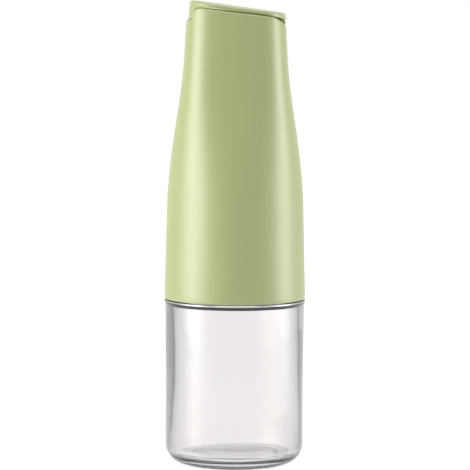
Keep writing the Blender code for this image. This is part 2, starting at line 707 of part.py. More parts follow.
def pour_deck(plastic):
    inset = SHELL_WALL + SEAT_GAP
    deck = loft("pour_deck", [shell_ring(DECK_LOW, inset), shell_ring(DECK_HIGH, inset)], plastic)
    eye = EAR_RADIUS * EAR_EYE_SHARE
    ear_outline = filleted([
        (HINGE_X - EAR_RADIUS, DECK_LOW + ROOT, 0),
        (HINGE_X - EAR_RADIUS, HINGE_Z + EAR_RADIUS, eye),
        (HINGE_X + EAR_RADIUS, HINGE_Z + EAR_RADIUS, eye),
        (HINGE_X + EAR_RADIUS, DECK_LOW + ROOT, 0),
    ])
    for side, name in ((-1, "left"), (1, "right")):
        ear = side_plate(f"ear_{name}", ear_outline, EAR_THICK / 2)
        ear.location.y = side * (EAR_INNER + EAR_OUTER) / 2
        join(deck, ear)
    cut(deck,
        block("arm_slot", (ARM_SLOT_FRONT, -CARRIER_SLOT, DECK_LOW - OVERRUN),
              (ARM_SLOT_BACK, CARRIER_SLOT, DECK_HIGH + OVERRUN)),
        cylinder("tube_hole", TUBE_CUP_RADIUS + TUBE_WALL + SEAT_GAP, OVERRUN, (SPOUT_X, 0, DECK_HIGH)),
        cylinder("ear_bore", PIN_BORE, EAR_OUTER + OVERRUN, (HINGE_X, 0, HINGE_Z), ALONG_Y))
    return deck


def spout(plastic):
    nozzle = NOZZLE_BORE + NOZZLE_WALL
    cup_outer = TUBE_CUP_RADIUS - SEAT_GAP
    cup_inner = cup_outer - CUP_WALL
    floor = CUP_LOW + CUP_WALL
    lip_x, pad_z = pad_middle()
    lip_z = pad_z - PAD_THICK * math.hypot(1, LID_SLOPE_SHARE) - SEAT_GAP
    sloped = {"slope_share": LID_SLOPE_SHARE}
    rings = [
        circle_ring(lip_x, LIP_BORE, lip_z, **sloped),
        circle_ring(lip_x, LIP_RADIUS, lip_z, **sloped),
        circle_ring(SPOUT_X, nozzle, NOZZLE_WAIST),
        circle_ring(SPOUT_X, nozzle, floor),
        circle_ring(SPOUT_X, cup_inner, floor),
        circle_ring(SPOUT_X, cup_inner, CUP_RIM),
        circle_ring(SPOUT_X, CUP_FLANGE, CUP_RIM),
        circle_ring(SPOUT_X, CUP_FLANGE, CUP_SEAT),
        circle_ring(SPOUT_X, cup_outer, CUP_SEAT),
        circle_ring(SPOUT_X, cup_outer, CUP_LOW),
        circle_ring(SPOUT_X, NOZZLE_BORE, CUP_LOW),
        circle_ring(SPOUT_X, NOZZLE_BORE, NOZZLE_WAIST),
    ]
    made = loft("drip_spout", rings, plastic, closed=True)
    drain_middle = SPOUT_X + (nozzle + cup_inner) / 2
    cut(made, block("drain_slot", (drain_middle - DRAIN_DEPTH / 2, -DRAIN_WIDTH / 2, CUP_LOW - OVERRUN),
                    (drain_middle + DRAIN_DEPTH / 2, DRAIN_WIDTH / 2, floor + OVERRUN)))
    return made


def hinge_pin(steel):
    return cylinder("hinge_pin", PIN_RADIUS, EAR_OUTER - PIN_RECESS, (HINGE_X, 0, HINGE_Z), ALONG_Y,
                    surface=steel)


def lid_ring(level, inset):
    middle = (LID_FRONT + LID_BACK) / 2
    half = (LID_BACK - LID_FRONT) / 2
    return rounded_ring(middle, half - inset, LID_HALF_DEPTH - inset, LID_CORNER - inset, level, LID_SIDES)


def lid_crown():
    """Rings of the lid's outer side, with a rounded top edge that follows the sloping top."""
    rings = [lid_ring(HINGE_Z - OVERRUN, 0.0)]
    for step in range(4):
        angle = math.pi / 2 * step / 3
        drop = LID_EDGE_ROUND * (1 - math.sin(angle))
        inset = LID_DRAFT + LID_EDGE_ROUND * (1 - math.cos(angle))
        rings.append(lid_ring(lambda x, drop=drop: lid_top(x) - drop, inset))
    return rings


def flip_lid(green):
    lid = loft("flip_lid", lid_crown(), green)
    far = SHELL_RADIUS + OVERRUN
    strip = RIM_STEP_TOP + RUN_GAP
    under = filleted([
        (-far, LID_APRON_LOW - far, 0),
        (-far, LID_APRON_LOW, 0),
        (RIM_STEP_X - RUN_GAP, LID_APRON_LOW, 0),
        (RIM_STEP_X - RUN_GAP, strip, RIM_STEP_ROUND + RUN_GAP),
        (RIM_DROP_X, rim_line(RIM_DROP_X) + RUN_GAP, RIM_DROP_ROUND),
        (LID_BACK, LID_STRIP_BACK, 0),
        (far, LID_STRIP_BACK, 0),
        (far, LID_APRON_LOW - far, 0),
    ])
    pocket = loft("lid_pocket", [lid_ring(HINGE_Z - 2 * OVERRUN, LID_WALL), lid_ring(lid_under, LID_WALL)])
    cut(lid, side_plate("lid_under_cutter", under, far), pocket)
    pad_x, pad_z = pad_middle()
    socket_middle = (pad_x, 0, pad_z)
    bore = PAD_RADIUS + SEAT_GAP
    socket = cylinder("pad_socket", bore + SOCKET_WALL, SOCKET_DEPTH, socket_middle, lid_tilt())
    cut(socket, cylinder("pad_socket_bore", bore, SOCKET_DEPTH + OVERRUN, socket_middle, lid_tilt()))
    join(lid, socket,
         cylinder("knuckle", KNUCKLE_RADIUS, KNUCKLE_HALF, (HINGE_X, 0, HINGE_Z), ALONG_Y, TUBE_SIDES),
         block("knuckle_web", (HINGE_X - WEB_FRONT, -KNUCKLE_HALF, HINGE_Z),
               (HINGE_X + WEB_BACK, KNUCKLE_HALF, lid_under(HINGE_X + WEB_BACK) + ROOT)))
    cut(lid, cylinder("knuckle_bore", PIN_BORE, KNUCKLE_HALF + OVERRUN, (HINGE_X, 0, HINGE_Z), ALONG_Y))
    return lid


def lid_seal_pad(silicone):
    pad_x, pad_z = pad_middle()
    tilt = lid_tilt()
    down = tilt @ Matrix.Translation((0, 0, -PAD_THICK / 2))
    return cylinder("lid_seal_pad", PAD_RADIUS, PAD_THICK / 2, (pad_x, 0, pad_z), down, surface=silicone)


def weight_carrier(plastic):
    arm_back = ARM_FRONT + ARM_THICK

    def plate(x):
        return lid_under(x) - SEAT_GAP

    outline = [
        (CARRIER_PLATE_FRONT, plate(CARRIER_PLATE_FRONT) - CARRIER_PLATE_THICK),
        (ARM_FRONT, plate(ARM_FRONT) - CARRIER_PLATE_THICK),
        (ARM_FRONT, WEIGHT_BOX_LOW),
        (WEIGHT_BOX_BACK, WEIGHT_BOX_LOW),
        (WEIGHT_BOX_BACK, WEIGHT_BOX_TOP),
        (arm_back, WEIGHT_BOX_TOP),
        (arm_back, plate(arm_back)),
        (CARRIER_PLATE_FRONT, plate(CARRIER_PLATE_FRONT)),
    ]
    carrier = side_plate("weight_carrier", outline, CARRIER_HALF, plastic)
    low, high = weight_pocket()
    cut(carrier, block("weight_pocket", (low[0], low[1], WEIGHT_BOX_LOW - OVERRUN), high))
    return carrier


def weight_pocket():
    """Corners of the pocket that holds the weight, open at the bottom."""
    wall = WEIGHT_BOX_WALL
    half = CARRIER_HALF - wall
    return ((ARM_FRONT + wall, -half, WEIGHT_BOX_LOW),
            (WEIGHT_BOX_BACK - wall, half, WEIGHT_BOX_TOP - wall))


def pocket_fill(name, surface, bottom, top):
    """A block that fits the pocket with a seat gap all round, between two heights."""
    low, high = weight_pocket()
    return block(name, (low[0] + SEAT_GAP, low[1] + SEAT_GAP, bottom),
                 (high[0] - SEAT_GAP, high[1] - SEAT_GAP, top), surface)


def counterweight(steel):
    bottom = WEIGHT_BOX_LOW + WEIGHT_COVER_THICK + SEAT_GAP
    return pocket_fill("counterweight", steel, bottom, WEIGHT_BOX_TOP - WEIGHT_BOX_WALL - SEAT_GAP)


def weight_cover(plastic):
    return pocket_fill("weight_cover", plastic, WEIGHT_BOX_LOW, WEIGHT_BOX_LOW + WEIGHT_COVER_THICK)


def hang(parts, name, place):
    """Parents the parts to an empty on their joint's axis."""
    pivot = bpy.data.objects.new(name, None)
    pivot.location = place
    bpy.data.collections[COLLECTION].objects.link(pivot)
    bpy.context.view_layer.update()
    for part in parts:
        placed = part.matrix_world.copy()
        part.parent = pivot
        part.matrix_parent_inverse = pivot.matrix_world.inverted()
        part.matrix_world = placed
    return pivot


def build():
    clear_scene()
    collection(COLLECTION)
    collection(CUTTERS, hidden=True)
    green = material("green_plastic", GREEN, 0.38)
    glass = material("clear_glass", CLEAR_GLASS, 0.03, transmission=1.0)
    frosted = material("silicone", FROSTED, 0.55)
    white = material("white_plastic", WHITE, 0.42)
    steel = material("steel", STEEL, 0.30, metallic=1.0)
    glass_jar(glass)
    gasket = neck_gasket(frosted)
    top = [outer_shell(green), threaded_collar(white), pour_tube(white), tube_seal(frosted),
           breather_valve(frosted), pour_deck(white), spout(white), hinge_pin(steel)]
    lid = [flip_lid(green), lid_seal_pad(frosted), weight_carrier(white), counterweight(steel),
           weight_cover(white)]
    screw = hang([gasket, *top], "screw_axis", (0, 0, RIM_HEIGHT))
    lid_axis = hang(lid, "lid_axis", (HINGE_X, 0, HINGE_Z))
    lid_axis.parent = screw
    lid_axis.matrix_parent_inverse = screw.matrix_world.inverted()
    bpy.context.view_layer.update()


build()
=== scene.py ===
"""Oil dispenser bottle: the looks of the jar, the pouring top and the flip lid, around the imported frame.

Metres, +Z up, the origin in the middle of the jar's foot. The spout and the front of the lid face -X.
"""

import bisect
import math

import bmesh
import bpy
from bpy.props import FloatProperty, FloatVectorProperty, PointerProperty
from mathutils import Matrix, Vector


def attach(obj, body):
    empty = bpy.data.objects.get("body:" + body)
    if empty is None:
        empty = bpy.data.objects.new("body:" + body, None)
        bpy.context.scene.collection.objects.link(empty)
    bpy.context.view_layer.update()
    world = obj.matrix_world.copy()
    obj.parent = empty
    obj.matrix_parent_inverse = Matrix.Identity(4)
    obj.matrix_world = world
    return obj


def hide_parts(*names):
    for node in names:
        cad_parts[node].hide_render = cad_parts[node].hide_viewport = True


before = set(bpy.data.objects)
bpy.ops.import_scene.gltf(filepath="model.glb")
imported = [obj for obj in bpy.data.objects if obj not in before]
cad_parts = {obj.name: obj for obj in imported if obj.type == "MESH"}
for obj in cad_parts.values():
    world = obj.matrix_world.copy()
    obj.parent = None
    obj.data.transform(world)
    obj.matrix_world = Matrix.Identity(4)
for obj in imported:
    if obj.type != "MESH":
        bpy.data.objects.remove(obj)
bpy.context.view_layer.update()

bl_info = {
    "name": "Oil Dispenser Bottle",
    "version": (1, 0, 0),
    "blender": (4, 5, 0),
    "location": "View3D > Sidebar > Bottle",
    "description": "Builds the glass jar, the pouring top, the flip lid and their studio",
    "category": "Add Mesh",
}

# Levels and gaps that the pieces share
RIM = 0.1110               # top of the jar's neck
TOP_LEVEL = 0.2500         # where the shell has its top half width
SEAT_GAP = 0.0003          # face to face, where one piece rests on another
EDGE = 0.0003              # usual rounding of an edge
SHARP_FROM = 38            # degrees between faces from which an edge looks sharp
HINGE = (0.0238, 0.0, 0.2504)
ACROSS_HINGE = Matrix.Translation(HINGE) @ Matrix.Rotation(math.pi / 2, 4, "X")

# Jar
NECK_WALL = 0.0036
NECK_ROUND = 0.0009
RIM_FLAT = 0.0018          # from the neck's outer face to the middle of its rim
BEAD_LOW = 0.0923
BEAD_HIGH = 0.0937
FOOT_ROUND = 0.0115
OVAL = 0.0025              # how far the inner wall is out of round, as a share
PAINTED_SHADE_LINE = 0.0919         # heights of the painted shade line and the painted glint at the bead
PAINTED_GLINT_LINE = 0.0932
INNER_FACE = (0.0356, 0.0019)   # radii of the inner wall's painted shade line, their middle and half their spread

# Screw thread
PITCH = 0.00425
TURNS = 1.5
RUNOUT_TURNS = 0.10
THREAD_DEPTH = 0.0013
THREAD_ROOT = 0.0009       # half widths
THREAD_CREST = 0.0004
THREAD_START = 0.1020
THREAD_PLAY = 0.0005
THREAD_ROWS = 34

# Tapered shell
SHELL_LOW = 0.0942
SHELL_LOW_DRAFT = 0.0260
SHELL_TOP_DRAFT = 0.0550
SHELL_FOOT = 0.0004
WAIST = (0.1460, 0.2300)
TOP_DEPTH = 0.960
CORNER_LOSS = 0.42
CROWN = 0.09               # how far the flats bulge
SHARP = 0.00015            # rounding of an edge where it stands upright
RIM_FRONT = 0.2524
STEP_X = -0.0244
STEP_TOP = 0.2591
STEP_SLANT = 0.0003
RIM_SLOPE = 0.101
DROP_X = 0.0178
DROP = ((0.0222, 0.2538), (0.0262, 0.2508), (0.0290, 0.2472))
DROP_ROUND = 0.0060
COLLAR_LEDGE = (0.1154, 0.1172, 0.0028)   # lower level, upper level, width
DECK_LEDGE = (0.2396, 0.2412, 0.0016)
LEDGE_EDGE = 0.0002
RIB_HALF = 0.0015
RIB_LOW, RIB_HIGH = 0.1060, 0.1158

# Rows along an edge that follows the rim
FINE_STEP = 0.00022        # at the step in front
WIDE_STEP = 0.0016         # elsewhere

# Lid
LID_FRONT = -0.0268
LID_BACK = 0.0286
LID_DEPTH = 0.0268
LID_CORNER = 0.0155
LID_TOP = 0.2629
LID_SLOPE = 0.135
LID_DRAFT = 0.0006
LID_PLATE = 0.0022
LID_GAP = 0.00012
LID_SQUEEZE = 0.957
APRON_LOW = 0.25245
APRON_GAP = 0.00003
STRIP_BACK = 0.2523
KNUCKLE = 0.0039
KNUCKLE_HALF = 0.0102
PIN = 0.0010
PIN_PLAY = 0.00006
PAD = 0.0089
PAD_THICK = 0.0020
PAD_SHIFT = 0.0005         # from the spout's middle forwards
SOCKET_DEEP = 0.0013

# Tube and spout
SPOUT_X = -0.0148
TUBE_BORE = 0.0070
TUBE_WALL = 0.0014
TUBE_LOW = 0.1115
FLANGE = 0.0135
FLANGE_LOW = 0.1170
FLANGE_THICK = 0.0016
BEND = (0.1280, 0.2280)
THROAT = 0.2285            # where the tube widens into its cup
CUP_BORE = 0.0088
CUP_LOW = 0.2380
CUP_HIGH = 0.2448
CUP_WALL = 0.0012          # of the drip cup, and the thickness of its brim
NOZZLE_BORE = 0.0050
NOZZLE = 0.0062

# Collar and valve
COLLAR_LOW = 0.0988
COLLAR_WALL = 0.0024
COLLAR_HOLE = 0.0088
CEILING_LOW = 0.1131
CEILING_HIGH = 0.1151
VALVE_X = 0.0190
VALVE_HOLE = 0.0022
VALVE_BORE = 0.0007
VALVE_STEM = 0.0019

# Rings: inner and outer radius of the gasket, inner radius of the tube's seal
GASKET = (0.0229, 0.0270)
SEAL_BORE = 0.0087

# Deck with its ears, and the box of the weight
DECK_LOW = 0.2415
DECK_THICK = 0.0020
ARM_SLOT = ((0.0040, -0.0100), (0.0240, 0.0100))
EAR = 0.0022
EAR_THICK = 0.0026
ARM_FRONT = 0.0050
ARM_THICK = 0.0026
BOX_FRONT, BOX_BACK = 0.0152, 0.0264
BOX_LOW, BOX_HIGH = 0.2165, 0.2340
BOX_HALF = 0.0094
BOX_WALL = 0.0012

# Light and camera
LENS = 244.0
CAMERA_X = -0.0008
CAMERA_DIP = 5.04          # degrees
CAMERA_ROLL = -0.28
FLOOR_HALF = 6.0
FLOOR_LEVEL = -0.0003      # just under the foot, so that the two don't touch
FLOOR_GLOW = 0.68
MIRRORED = 0.40            # brightness of the softboxes in glass and mirrors
ONE_WALL = 0.3             # brightness of the background through one wall of glass
NEAR_FLOOR = (0.006, 0.025)     # how close behind the glass the floor is plain white


# Settings that a user would change

class BottleJarSizes(bpy.types.PropertyGroup):
    radius: FloatProperty(
        name="Radius", description="Outer radius of the jar's wall", default=0.03955, unit="LENGTH")
    wall: FloatProperty(
        name="Wall", description="Thickness of the glass at half height", default=0.0041, unit="LENGTH")
    low_wall: FloatProperty(
        name="Low wall", description="Thickness of the glass near the floor", default=0.0027, unit="LENGTH")
    floor: FloatProperty(
        name="Floor", description="Height of the inner floor above the table", default=0.0073, unit="LENGTH")
    corner: FloatProperty(
        name="Floor's edge", description="Height of the inner floor where the wall begins",
        default=0.0049, unit="LENGTH")
    bead: FloatProperty(
        name="Bead", description="Radius of the bead under the shell", default=0.0401, unit="LENGTH")
    neck: FloatProperty(
        name="Neck", description="Outer radius of the threaded neck", default=0.0262, unit="LENGTH")
    drift: FloatProperty(
        name="Drift", description="How far the inner wall has drifted off the middle",
        default=0.0008, unit="LENGTH")


class BottleShellSizes(bpy.types.PropertyGroup):
    foot: FloatProperty(
        name="Foot radius", description="Radius of the shell where it meets the jar",
        default=0.0400, unit="LENGTH")
    top: FloatProperty(
        name="Top half width", description="Half width of the squared top", default=0.0282, unit="LENGTH")
    wall: FloatProperty(name="Wall", description="Thickness of the shell", default=0.0022, unit="LENGTH")
    rim: FloatProperty(
        name="Rim round", description="Rounding of the rim's outer edge", default=0.0011, unit="LENGTH")


class BottleLidSizes(bpy.types.PropertyGroup):
    wall: FloatProperty(name="Wall", description="Thickness of the lid's side", default=0.0020, unit="LENGTH")
    crown: FloatProperty(
        name="Crown", description="How far the lid's top edge is rounded inwards",
        default=0.0010, unit="LENGTH")
    shoulder: FloatProperty(
        name="Shoulder", description="How far down its side the rounding begins", default=0.0020, unit="LENGTH")
    edge: FloatProperty(
        name="Edge round", description="Rounding of the lid's lower edge", default=0.0003, unit="LENGTH")


class BottleFinish(bpy.types.PropertyGroup):
    green: FloatVectorProperty(
        name="Green", description="Colour of the shell and the lid", subtype="COLOR",
        default=(0.326, 0.367, 0.141), min=0, max=1)
    green_deep: FloatVectorProperty(
        name="Green, deep", description="Colour of its faint flow marks", subtype="COLOR",
        default=(0.307, 0.348, 0.132), min=0, max=1)
    green_gloss: FloatProperty(
        name="Green roughness", description="Roughness of the satin green",
        default=0.36, subtype="FACTOR", min=0, max=1)
    white: FloatVectorProperty(
        name="White", description="Colour of the inner plastic pieces", subtype="COLOR",
        default=(0.80, 0.80, 0.76), min=0, max=1)
    seal: FloatVectorProperty(
        name="Silicone", description="Colour of the frosted silicone", subtype="COLOR",
        default=(0.82, 0.82, 0.79), min=0, max=1)
    glass_body: FloatVectorProperty(
        name="Glass body", description="Colour that thick glass takes", subtype="COLOR",
        default=(0.80, 0.86, 0.83), min=0, max=1)
    glass_density: FloatProperty(
        name="Glass density", description="How fast thick glass darkens, per metre", default=14.0, min=0)


class BottleStudio(bpy.types.PropertyGroup):
    left: FloatProperty(
        name="Left softbox", description="Brightness in the middle of the left softbox", default=5.5, min=0)
    right: FloatProperty(
        name="Right softbox", description="Brightness in the middle of the right softbox", default=5.0, min=0)
    above: FloatProperty(
        name="Upper lamp", description="Power of the broad lamp above", default=6.5, unit="POWER")
    room: FloatProperty(
        name="Room light", description="Strength of the soft light from all sides", default=0.36, min=0)
    distance: FloatProperty(
        name="Camera distance", description="From the camera to the bottle", default=1.800, unit="LENGTH")
    height: FloatProperty(
        name="Camera height", description="Height of the camera above the table", default=0.2887, unit="LENGTH")


# Numbers

def part_way(value, start, end):
    """How far a value has come from start to end, from 0 to 1."""
    return max(0.0, min(1.0, (value - start) / (end - start)))


def ease(value, start, end):
    """The same, slow at both ends."""
    t = part_way(value, start, end)
    return t * t * (3 - 2 * t)


def quarter(steps):
    """(drop, inset) at even steps round a quarter circle of radius 1, from its side to its top."""
    angles = [math.pi / 2 * i / steps for i in range(steps + 1)]
    return [(1 - math.sin(a), 1 - math.cos(a)) for a in angles]


# Meshes

def solid(name, shape):
    """The mesh of a bmesh, with its faces turned outwards."""
    bmesh.ops.recalc_face_normals(shape, faces=shape.faces)
    made = bpy.data.meshes.new(name)
    shape.to_mesh(made)
    shape.free()
    return made


def skin(name, rows, closed=False):
    """The mesh of the bands of faces between rows of points. A row of one point is a tip."""
    points, numbers, faces = [], [], []
    for row in rows:
        numbers.append(range(len(points), len(points) + len(row)))
        points += row
    for low, high in zip(numbers, numbers[1:] + numbers[:1] if closed else numbers[1:]):
        count = max(len(low), len(high))
        for i in range(count):
            j = (i + 1) % count
            corners = (low[i % len(low)], low[j % len(low)], high[j % len(high)], high[i % len(high)])
            faces.append(tuple(dict.fromkeys(corners)))
    rough = bpy.data.meshes.new(name)
    rough.from_pydata(points, [], faces)
    shape = bmesh.new()
    shape.from_mesh(rough)
    bpy.data.meshes.remove(rough)
    return solid(name, shape)


def linked(name, data):
    """A new object in the scene."""
    obj = bpy.data.objects.new(name, data)
    bpy.context.scene.collection.objects.link(obj)
    return obj


def show(name, mesh, body, node, slot):
    """Puts a mesh in the scene as a piece that rides on a body and stands for its CAD node."""
    obj = linked(name, mesh)
    mesh.materials.clear()
    mesh.materials.append(surface(slot))
    mesh.shade_smooth()
    mesh.set_sharp_from_angle(angle=math.radians(SHARP_FROM))
    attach(obj, body)
    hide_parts(node)


def joined(*meshes):
    """One mesh of several."""
    shape = bmesh.new()
    for mesh in meshes:
        shape.from_mesh(mesh)
    made = bpy.data.meshes.new(meshes[0].name)
    shape.to_mesh(made)
    shape.free()
    return made


def moved(mesh, matrix):
    mesh.transform(matrix)
    return mesh


def turned_by(mesh, quarters):
    """The mesh turned about Z by so many quarter turns."""
    return moved(mesh, Matrix.Rotation(math.pi / 2 * quarters, 4, "Z"))


def evaluated(obj):
    """The mesh that a linked object comes to."""
    bpy.context.view_layer.update()
    ready = obj.evaluated_get(bpy.context.evaluated_depsgraph_get())
    return bpy.data.meshes.new_from_object(ready)


def carved(mesh, *cutters):
    """The mesh with the cutters taken away."""
    body, *tools = [linked("carved", shape) for shape in (mesh, *cutters)]
    for tool in tools:
        change = body.modifiers.new("cut", "BOOLEAN")
        change.operation, change.solver, change.object = "DIFFERENCE", "MANIFOLD", tool
    made = evaluated(body)
    for obj in (body, *tools):
        bpy.data.objects.remove(obj)
    return made


def rounded(corners, step=math.radians(15)):
    """Points along (x, z, radius) corners, each rounded by an arc of its radius."""
    points = []
    for index, (x, z, radius) in enumerate(corners):
        here = Vector((x, z))
        if radius == 0 or index in (0, len(corners) - 1):
            points.append(here)
            continue
        before = (Vector(corners[index - 1][:2]) - here).normalized()
        after = (Vector(corners[index + 1][:2]) - here).normalized()
        half = math.acos(max(-1.0, min(1.0, before.dot(after)))) / 2
        centre = here + (before + after).normalized() * radius / math.sin(half)
        start = here + before * radius / math.tan(half) - centre
        end = here + after * radius / math.tan(half) - centre
        turn = math.pi - 2 * half
        if start.x * end.y - start.y * end.x < 0:
            turn = -turn
        steps = max(2, math.ceil(abs(turn) / step))
        for i in range(steps + 1):
            a = turn * i / steps
            points.append(centre + Vector((start.x * math.cos(a) - start.y * math.sin(a),
                                           start.x * math.sin(a) + start.y * math.cos(a))))
    return [(p.x, p.y) for p in points]


def turned(name, profile, sides, closed=False, warp=None):
    """(radius, height) points turned round Z, each point moved by the warp if there is one."""
    rows = []
    for index, (radius, z) in enumerate(profile):
        count = 1 if radius < 1e-9 else sides
        row = []
        for i in range(count):
            angle = 2 * math.pi * i / sides
            point = (radius * math.cos(angle), radius * math.sin(angle), z)
            row.append(warp(point, angle, radius, index) if warp else point)
        rows.append(row)
    return skin(name, rows, closed)


def peg(name, radius, half, sides, edge=0):
    """A round bar along Z, as long above the origin as below it."""
    corners = [(0, -half, 0), (radius, -half, edge), (radius, half, edge), (0, half, 0)]
    return turned(name, rounded(corners), sides)


def washer(name, inner, outer, low, high, sides, inner_edge=EDGE, outer_edge=EDGE):
    """A ring about Z with rounded edges."""
    middle = (low + high) / 2
    return turned(name, rounded([
        (inner, middle, 0), (inner, low, inner_edge), (outer, low, outer_edge), (outer, high, outer_edge),
        (inner, high, inner_edge), (inner, middle, 0),
    ])[:-1], sides, closed=True)


def plate(name, outlines, half, along_y=False):
    """Closed outlines, the first filled and the others holes, given thickness and rounded edges."""
    curve = bpy.data.curves.new(name, "CURVE")
    curve.dimensions, curve.fill_mode = "2D", "BOTH"
    curve.extrude, curve.bevel_depth, curve.bevel_resolution = half - EDGE, EDGE, 2
    curve.offset = -EDGE
    for number, outline in enumerate(outlines):
        if (area(outline) < 0) != (number > 0):
            outline = outline[::-1]
        spline = curve.splines.new("POLY")
        spline.points.add(len(outline) - 1)
        for point, (u, v) in zip(spline.points, outline):
            point.co = (u, v, 0, 1)
        spline.use_cyclic_u = True
    drawn = linked(name, curve)
    rough = evaluated(drawn)
    bpy.data.objects.remove(drawn)
    shape = bmesh.new()
    shape.from_mesh(rough)
    bpy.data.meshes.remove(rough)
    bmesh.ops.remove_doubles(shape, verts=shape.verts, dist=1e-6)
    made = solid(name, shape)
    return moved(made, Matrix.Rotation(math.pi / 2, 4, "X")) if along_y else made


def area(outline):
    return sum(a[0] * b[1] - b[0] * a[1] for a, b in zip(outline, outline[1:] + outline[:1])) / 2


def brick(name, low, high, edge=0):
    """A block, with rounded edges if it has an edge."""
    shape = bmesh.new()
    bmesh.ops.create_cube(shape, size=1.0)
    bmesh.ops.scale(shape, vec=[b - a for a, b in zip(low, high)], verts=shape.verts)
    bmesh.ops.translate(shape, vec=[(a + b) / 2 for a, b in zip(low, high)], verts=shape.verts)
    if edge:
        bmesh.ops.bevel(shape, geom=shape.edges[:] + shape.verts[:], offset=edge, segments=3,
                        profile=0.5, affect="EDGES")
    return solid(name, shape)


def circle(x, y, radius, sides=64):
    angles = [2 * math.pi * i / sides for i in range(sides)]
    return [(x + radius * math.cos(a), y + radius * math.sin(a)) for a in angles]


def oblong(low, high, radius):
    """Outline of a rectangle with rounded corners."""
    (x0, y0), (x1, y1) = low, high
    middle = ((x0 + x1) / 2, y0, 0)
    corners = [(x, y, radius) for x, y in ((x1, y0), (x1, y1), (x0, y1), (x0, y0))]
    return rounded([middle, *corners, middle])[:-1]


def mixed(first, second, share):
    """A row of points part of the way from one row to another."""
    return [tuple(p + (q - p) * share for p, q in zip(a, b)) for a, b in zip(first, second)]


# Sections of the shell and of the lid

def section_point(half, depth, corner, angle, inset=0.0):
    """A point of a rounded rectangle with slightly crowned sides, by the angle of its normal."""
    a, b = half - corner, depth - corner
    k = math.sqrt(1 + CROWN * CROWN)
    a, b = k * a - CROWN * b, k * b - CROWN * a
    c, s = math.cos(angle), math.sin(angle)
    soft_c, soft_s = math.hypot(c, CROWN), math.hypot(s, CROWN)
    r = corner - inset
    return (c * (a * k * k / soft_c + b * CROWN ** 2 / soft_s + r),
            s * (b * k * k / soft_s + a * CROWN ** 2 / soft_c + r))


def shell_section(z):
    """Half width, half depth and corner radius of the shell at a height."""
    sizes = bpy.context.scene.bottle_shell
    squared = ease(z, *WAIST)
    low = sizes.foot - SHELL_LOW_DRAFT * (z - SHELL_LOW)
    high = sizes.top + SHELL_TOP_DRAFT * (TOP_LEVEL - z)
    half = low + (high - low) * squared
    depth = half * (1 - (1 - TOP_DEPTH) * squared)
    return half, depth, depth * (1 - CORNER_LOSS * squared)


class Walk:
    """The way round a section, by the distance from its rearmost point."""

    def __init__(self, section, steps=1440):
        self.section = section
        self.angles = [2 * math.pi * i / steps for i in range(steps + 1)]
        points = [section_point(*section, a) for a in self.angles]
        self.far = [0.0]
        for p, q in zip(points, points[1:]):
            self.far.append(self.far[-1] + math.dist(p, q))
        self.length = self.far[-1]

    def angle(self, s):
        s %= self.length
        i = max(1, bisect.bisect_left(self.far, s))
        share = (s - self.far[i - 1]) / (self.far[i] - self.far[i - 1])
        return self.angles[i - 1] + share * (self.angles[i] - self.angles[i - 1])

    def x(self, s):
        return section_point(*self.section, self.angle(s))[0]


def height_at(outline, x):
    """Height of a side outline, whose points run towards -X, at a place."""
    for (x0, z0), (x1, z1) in zip(outline, outline[1:]):
        if x1 <= x <= x0:
            return z0 + (z1 - z0) * ((x0 - x) / (x0 - x1) if x0 > x1 else 0)
    return outline[0][1] if x > outline[0][0] else outline[-1][1]


def edge_walk(walk, outline, middle_x, fine):
    """(distance, height, normal) along an edge that follows a side outline round a section.

    Between the two X of fine the points lie close together."""
    places, s = [], 0.0
    while s < walk.length:
        places.append(s)
        s += FINE_STEP if fine[0] < walk.x(s) + middle_x < fine[1] else WIDE_STEP
    heights = [height_at(outline, walk.x(s) + middle_x) for s in places]
    count, edge = len(places), []
    for i in range(count):
        ds = (places[(i + 1) % count] - places[i - 1]) % walk.length
        dz = heights[(i + 1) % count] - heights[i - 1]
        size = math.hypot(ds, dz)
        edge.append((places[i], heights[i], -dz / size, ds / size))
    return edge


# Finishes

class Nodes:
    """The nodes of a material or a world, and short ways to add to them."""

    def __init__(self, owner):
        owner.use_nodes = True
        self.tree = owner.node_tree
        self.main = self.tree.nodes.get("Principled BSDF") or self.tree.nodes["Background"]

    def add(self, kind, links=(), **values):
        node = self.tree.nodes.new(kind)
        for name, value in values.items():
            if hasattr(node, name):
                setattr(node, name, value)
            else:
                node.inputs[name.replace("_", " ")].default_value = value
        for source, socket in links:
            self.tree.links.new(source, node.inputs[socket])
        return node

    def calc(self, operation, *terms):
        """The result of a maths node on sockets and plain numbers."""
        node = self.add("ShaderNodeMath", operation=operation)
        for socket, term in zip(node.inputs, terms):
            if isinstance(term, bpy.types.NodeSocket):
                self.tree.links.new(term, socket)
            else:
                socket.default_value = term
        return node.outputs[0]

    def ramp(self, source, start, end, low, high):
        """From low to high while the source goes from start to end."""
        return self.add("ShaderNodeMapRange", [(source, "Value")], From_Min=start, From_Max=end,
                        To_Min=low, To_Max=high).outputs["Result"]

    def fill(self, **values):
        """Sets or links sockets of the main shader."""
        for name, value in values.items():
            socket = self.main.inputs[name.replace("_", " ")]
            if isinstance(value, bpy.types.NodeSocket):
                self.tree.links.new(value, socket)
            else:
                socket.default_value = value

    def end(self, source, socket="Surface"):
        self.tree.links.new(source, self.tree.nodes["Material Output"].inputs[socket])


